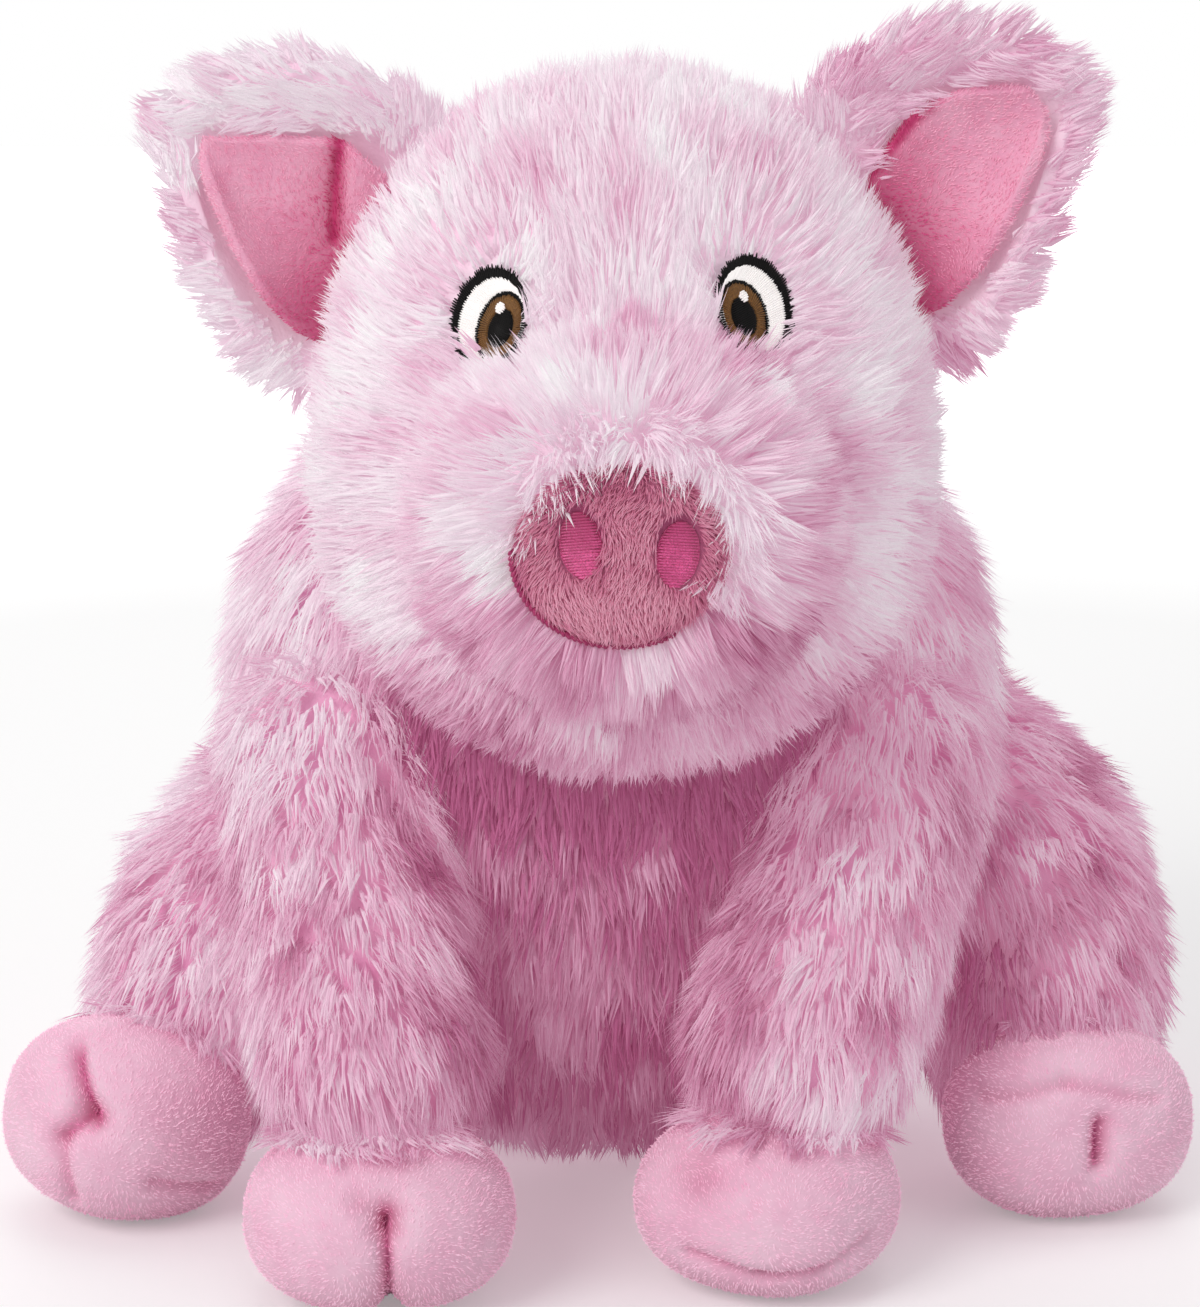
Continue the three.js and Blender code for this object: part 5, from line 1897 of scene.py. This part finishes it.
def stitched_piece(name, tree, lens, stitches, thread, half_width=0.2 * mm):
    """A lens with stitches on it, both in front-view places: see oval_on."""
    place, half_wide, half_high, lift = lens
    bm = bmesh.new()
    bmesh.ops.create_uvsphere(bm, u_segments=24, v_segments=12, radius=1)
    bmesh.ops.rotate(bm, verts=bm.verts, matrix=Matrix.Rotation(math.pi / 2, 3, "X"))
    corners, faces = taken_apart(bm)
    points = []
    for x, y, z in corners.tolist():
        spot = place(x * half_wide, z * half_high)
        points.append(draped(tree, *spot, lift - y * lens_half_thickness)[0][:])
    for (x0, z0), (x1, z1), lift in stitches:
        start, facing = draped(tree, x0, z0, lift)
        end = draped(tree, x1, z1, lift)[0]
        along = (end - start) / 2
        side = along.cross(facing).normalized() * half_width
        out = side.cross(along).normalized() * half_width * stitch_flatness
        add_stitch(points, faces, (start + end) / 2, along, side, out)
    return loose_piece(name, points, faces, thread)


def oval_on(middle_x, middle_z, turn):
    """Turns places on a flat oval into places seen from the front."""
    def place(u, v):
        x = middle_x + u * math.cos(turn) - v * math.sin(turn)
        return x, middle_z + u * math.sin(turn) + v * math.cos(turn)
    return place


def band_stitches(place, inner, outer, lift, ragged, spacing=0.36 * mm):
    """Stitches across the band between two ovals of (u, v, half wide, half high)."""
    around = math.pi * (outer[2] + outer[3])
    count = int(around / spacing)
    stitches = []
    for k in range(count):
        turn = 2 * math.pi * k / count
        ends = []
        for (u, v, wide, high), more in ((inner, 0), (outer, ragged * generator.random())):
            across, upwards = (wide + more) * math.cos(turn), (high + more) * math.sin(turn)
            ends.append(place(u + across, v + upwards))
        stitches.append((*ends, lift + 0.05 * mm * generator.random()))
    return stitches


def row_stitches(place, oval, lift, spacing=0.34 * mm):
    """Stitches in rows across an oval of (u, v, half wide, half high)."""
    u, v, wide, high = oval
    count = max(int(2 * high / spacing), 3)
    stitches = []
    for k in range(count):
        level = -1 + 2 * (k + 0.5) / count
        half = wide * math.sqrt(1 - level**2) * (0.96 + 0.08 * generator.random())
        row = v + level * high
        stitches.append((place(u - half, row), place(u + half, row), lift))
    return stitches


# %% [markdown]
# An eye is six patches, one inside the other: a black outline, a white crescent, a black rim, a
# brown iris, a black pupil and a white glint. Each sits a thread's height over the one outside it.

# %% Eyes
# Each patch: inwards and down from the eye's middle, half width and half height in millimetres,
# and its thread.
eye_patches = {
    "outline": (0, 0, 6.2, 8.6, "black"),
    "white": (0.4, 0.3, 5.1, 7.4, "white"),
    "rim": (2.5, 0.4, 3.9, 6.1, "black"),
    "iris": (2.5, 0.4, 3.3, 5.5, "brown"),
    "pupil": (2.7, 0.6, 2.0, 3.3, "black"),
    "glint": (1.4, -2.4, 0.8, 1.0, "white"),
}
first_lift = 0.35
thread_height = 0.14
head_form = head_bag_of("head_form", 0)
head_tree = Skin(head_form).tree
bpy.data.objects.remove(head_form)
layers = list(eye_patches)
for side, sign in side_signs.items():
    middle = eye_middle(side)
    turn = math.radians(eye_lean) * sign
    place = oval_on(middle.x, middle.z, turn)
    ovals = {
        layer: (-inwards * sign * mm, -down * mm, wide * mm, high * mm)
        for layer, (inwards, down, wide, high, _) in eye_patches.items()
    }
    for level, layer in enumerate(layers):
        lift = (first_lift + thread_height * level) * mm
        u, v, wide, high = ovals[layer]
        if layer in ("pupil", "glint"):
            stitches = row_stitches(place, ovals[layer], lift + 0.25 * mm)
        else:
            ragged = 0.8 * mm if layer == "outline" else 0.25 * mm
            band = (ovals[layers[level + 1]], ovals[layer])
            stitches = band_stitches(place, *band, lift + 0.2 * mm, ragged)
        lens = (oval_on(*place(u, v), turn), wide, high, lift)
        thread = eye_patches[layer][-1]
        patch = stitched_piece(f"eye_{layer}_{side}_stitches", head_tree, lens, stitches, thread)
        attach(patch, "head")
        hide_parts(f"eye_{layer}_{side}")
print("eye patches:", 2 * len(layers))


# %% [markdown]
# The nostrils are magenta satin, stitched across. The mouth is the pad's lower seam, drawn as a
# line of small slanted stitches.

# %% Nostrils and mouth
nostril_lean = math.radians(6)
pad_tree = Skin(snout).tree
for side, middle in nostril_middles.items():
    place = oval_on(middle.x, middle.z, -side_signs[side] * nostril_lean)
    oval = (0, 0, nostril_half_width, nostril_half_height)
    stitches = row_stitches(place, oval, 0.35 * mm, 0.5 * mm)
    lens = (place, nostril_half_width, nostril_half_height, 0.1 * mm)
    name = f"nostril_{side}_stitches"
    patch = stitched_piece(name, pad_tree, lens, stitches, "magenta", 0.3 * mm)
    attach(patch, "head")
    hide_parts(f"nostril_{side}")

mouth_stitch_count = 38
mouth_half_width = 0.6 * mm
# Half a mouth stitch: its height in millimetres, its length in gaps from one stitch to the next,
# and its slant in half widths.
mouth_half_height = 0.7
mouth_stitch_reach = 0.7
mouth_slant = 0.5
mouth_y = pad_front + pad_thickness * 0.5
mouth_points = []
for k in range(mouth_stitch_count + 1):
    share = (mouth_turns[1] - mouth_turns[0]) * k / mouth_stitch_count
    turn = 2 * math.pi * (mouth_turns[0] + share)
    x = pad_middle.x + (pad_half_width + mouth_half_width) * math.cos(turn)
    z = pad_middle.z + (pad_half_height + mouth_half_width) * math.sin(turn)
    mouth_points.append(Vector((x, mouth_y, z)))
points, faces = [], []
for start, end in zip(mouth_points, mouth_points[1:]):
    along = (end - start) * mouth_stitch_reach
    out = Vector((0, -1, 0))
    side = along.cross(out).normalized() * mouth_half_width
    slanted = along + side * mouth_slant
    add_stitch(points, faces, (start + end) / 2, slanted, side, out * mouth_half_height * mm)
mouth = loose_piece("mouth_line_stitches", points, faces, "seam")
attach(mouth, "head")
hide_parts("mouth_line")


# %% [markdown]
# The snout pad's nap is brushed down from between the nostrils and stops at their edges.

# %% Snout nap
snout_spread = 30
# The nap stops at the nostrils' edges, and a little further above them.
nostril_clear_above = 1.2 * mm
nostril_clear_round = 0.8 * mm


def snout_comb(place):
    sideways = (place[:, 0] - pad_middle.x) * snout_spread
    return unit(np.stack([sideways, np.zeros(len(place)), np.full(len(place), -1.0)], 1))


def clear_of_nostrils(place):
    keep = np.ones(len(place), bool)
    for middle in nostril_middles.values():
        across = (place[:, 0] - middle.x) / nostril_half_width
        upwards = place[:, 2] - middle.z - nostril_clear_above
        upwards = upwards / (nostril_half_height + nostril_clear_round)
        keep &= (np.hypot(across, upwards) > 1) | (place[:, 1] > pad_middle.y)
    return keep


looks = (nap_styles["snout"], snout_comb, snout_nap, "snout")
plant_nap("snout_nap", "head", snout, *looks, [forms["muzzle"]], clear_of_nostrils)


# %% [markdown]
# The tail isn't in the picture. It is a small curled tube of the feet's velvet, as such toys have.

# %% Tail
tail_root = joint_place["tail_wag"]
tail_ball = 5 * mm
tail_tip = 2.8 * mm
tail_stem = 19 * mm
tail_curl_radius = 8.5 * mm
tail_sideways = 9 * mm
tail_turns = 1.1
tail_steps = 40


def tail_spot(share):
    """A point of the tail's line: a straight stem, then a curl."""
    stem_share = 0.22
    if share < stem_share:
        return tail_root + Vector((0, tail_stem * share / stem_share, 0))
    part = (share - stem_share) / (1 - stem_share)
    turn = 2 * math.pi * tail_turns * part
    out = tail_stem + tail_curl_radius * math.sin(turn)
    return tail_root + Vector((tail_sideways * part, out, tail_curl_radius * (1 - math.cos(turn))))


tail_rings = []
for k in range(tail_steps + 1):
    share = k / tail_steps
    here = tail_spot(share)
    way = (tail_spot(share + 0.01) - tail_spot(share - 0.01)).normalized()
    across = (Vector((1, 0, 0)) - way * way.x).normalized()
    radius = tail_ball + (tail_tip - tail_ball) * share - 0.5 * mm
    tail_rings.append((here, across * radius, way.cross(across) * radius))
tail_end_way = (tail_rings[-1][0] - tail_rings[-2][0]).normalized()
tail_last = tail_rings[-1][0] + tail_end_way * tail_tip * 0.6
tail_first = tail_root - Vector((0, 4 * mm, 0))
tail_bag = applied(sewn_bag("tail_velvet", tail_rings, tail_first, tail_last, segments=12))
tail_bag.data.materials.append(foot_velvet)
set_painted_shade(tail_bag.data, np.zeros(len(tail_bag.data.vertices)))


def brushed_back(place):
    return np.tile([0.0, 1.0, 0.0], (len(place), 1))


looks = (nap_styles["foot"], brushed_back, foot_nap, "velvet")
plant_nap("tail_nap", "tail", tail_bag, *looks, [forms["trunk"]])


# %% [markdown]
# Every bag rides on its own body and stands for its CAD cover. The loose fillings stay as the CAD
# has them, inside the bags, with a finish of carded fibre. A foot is pressed in at its dimples, so
# its filling is the foot's own form, drawn in by the cloth.

# %% What rides on what
def filling_finish():
    material, start = new_finish("carded_fibre")
    clumps = blotches(start, 4 * mm, 4).between(0.3, 0.7)
    bump = clumps.bump(0.8, 1 * mm)
    colour = clumps.mix(linear(222, 218, 210), linear(248, 246, 240))
    close_principled(start, {"Base Color": colour, "Roughness": 0.95, "Normal": bump})
    return material


fibre = filling_finish()
velvet_thickness = 2.5 * mm


def foot_filling_of(name, foot):
    mesh = foot.data.copy()
    mesh.attributes.remove(mesh.attributes["depth"])
    normals = np.zeros(len(mesh.vertices) * 3, np.float32)
    mesh.vertices.foreach_get("normal", normals)
    set_points(mesh, points_of(mesh) - normals.reshape(-1, 3) * velvet_thickness)
    mesh.materials.clear()
    mesh.materials.append(fibre)
    return placed(f"{name}_fibre", mesh)


padded_bags = [
    (trunk_bag, "trunk", "trunk_cover", "fur", 0.75),
    (head_bag, "head", "head_cover", "fur", 0.85),
    (muzzle_bag, "head", "muzzle_cover", "fur", 0.85),
    (snout, "head", "snout_pad", "snout", 0.8),
    (tail_bag, "tail", "tail", "velvet", 0.8),
]
for leg, bag in leg_bags.items():
    foot_name = foot_of_leg(leg)
    padded_bags.append((bag, leg, f"{leg}_cover", "fur", 0.75))
    padded_bags.append((feet[foot_name], leg, f"{foot_name}_cover", "velvet", 0.8))
    filling = foot_filling_of(foot_name, feet[foot_name])
    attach(filling, leg)
    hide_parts(f"{foot_name}_filling")
for bag, body, node, slot, fill in padded_bags:
    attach(bag, body)
    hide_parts(node)
for side in side_signs:
    leaves = {"ear_back": (ear_backs[side], "fur"), "ear_lining": (ear_linings[side], "ear_lining")}
    for node, (leaf, slot) in leaves.items():
        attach(leaf, f"ear_{side}")
        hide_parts(f"{node}_{side}")
for name, node in frame["nodes"].items():
    if name.endswith("_filling"):
        for slot in node.material_slots:
            slot.material = fibre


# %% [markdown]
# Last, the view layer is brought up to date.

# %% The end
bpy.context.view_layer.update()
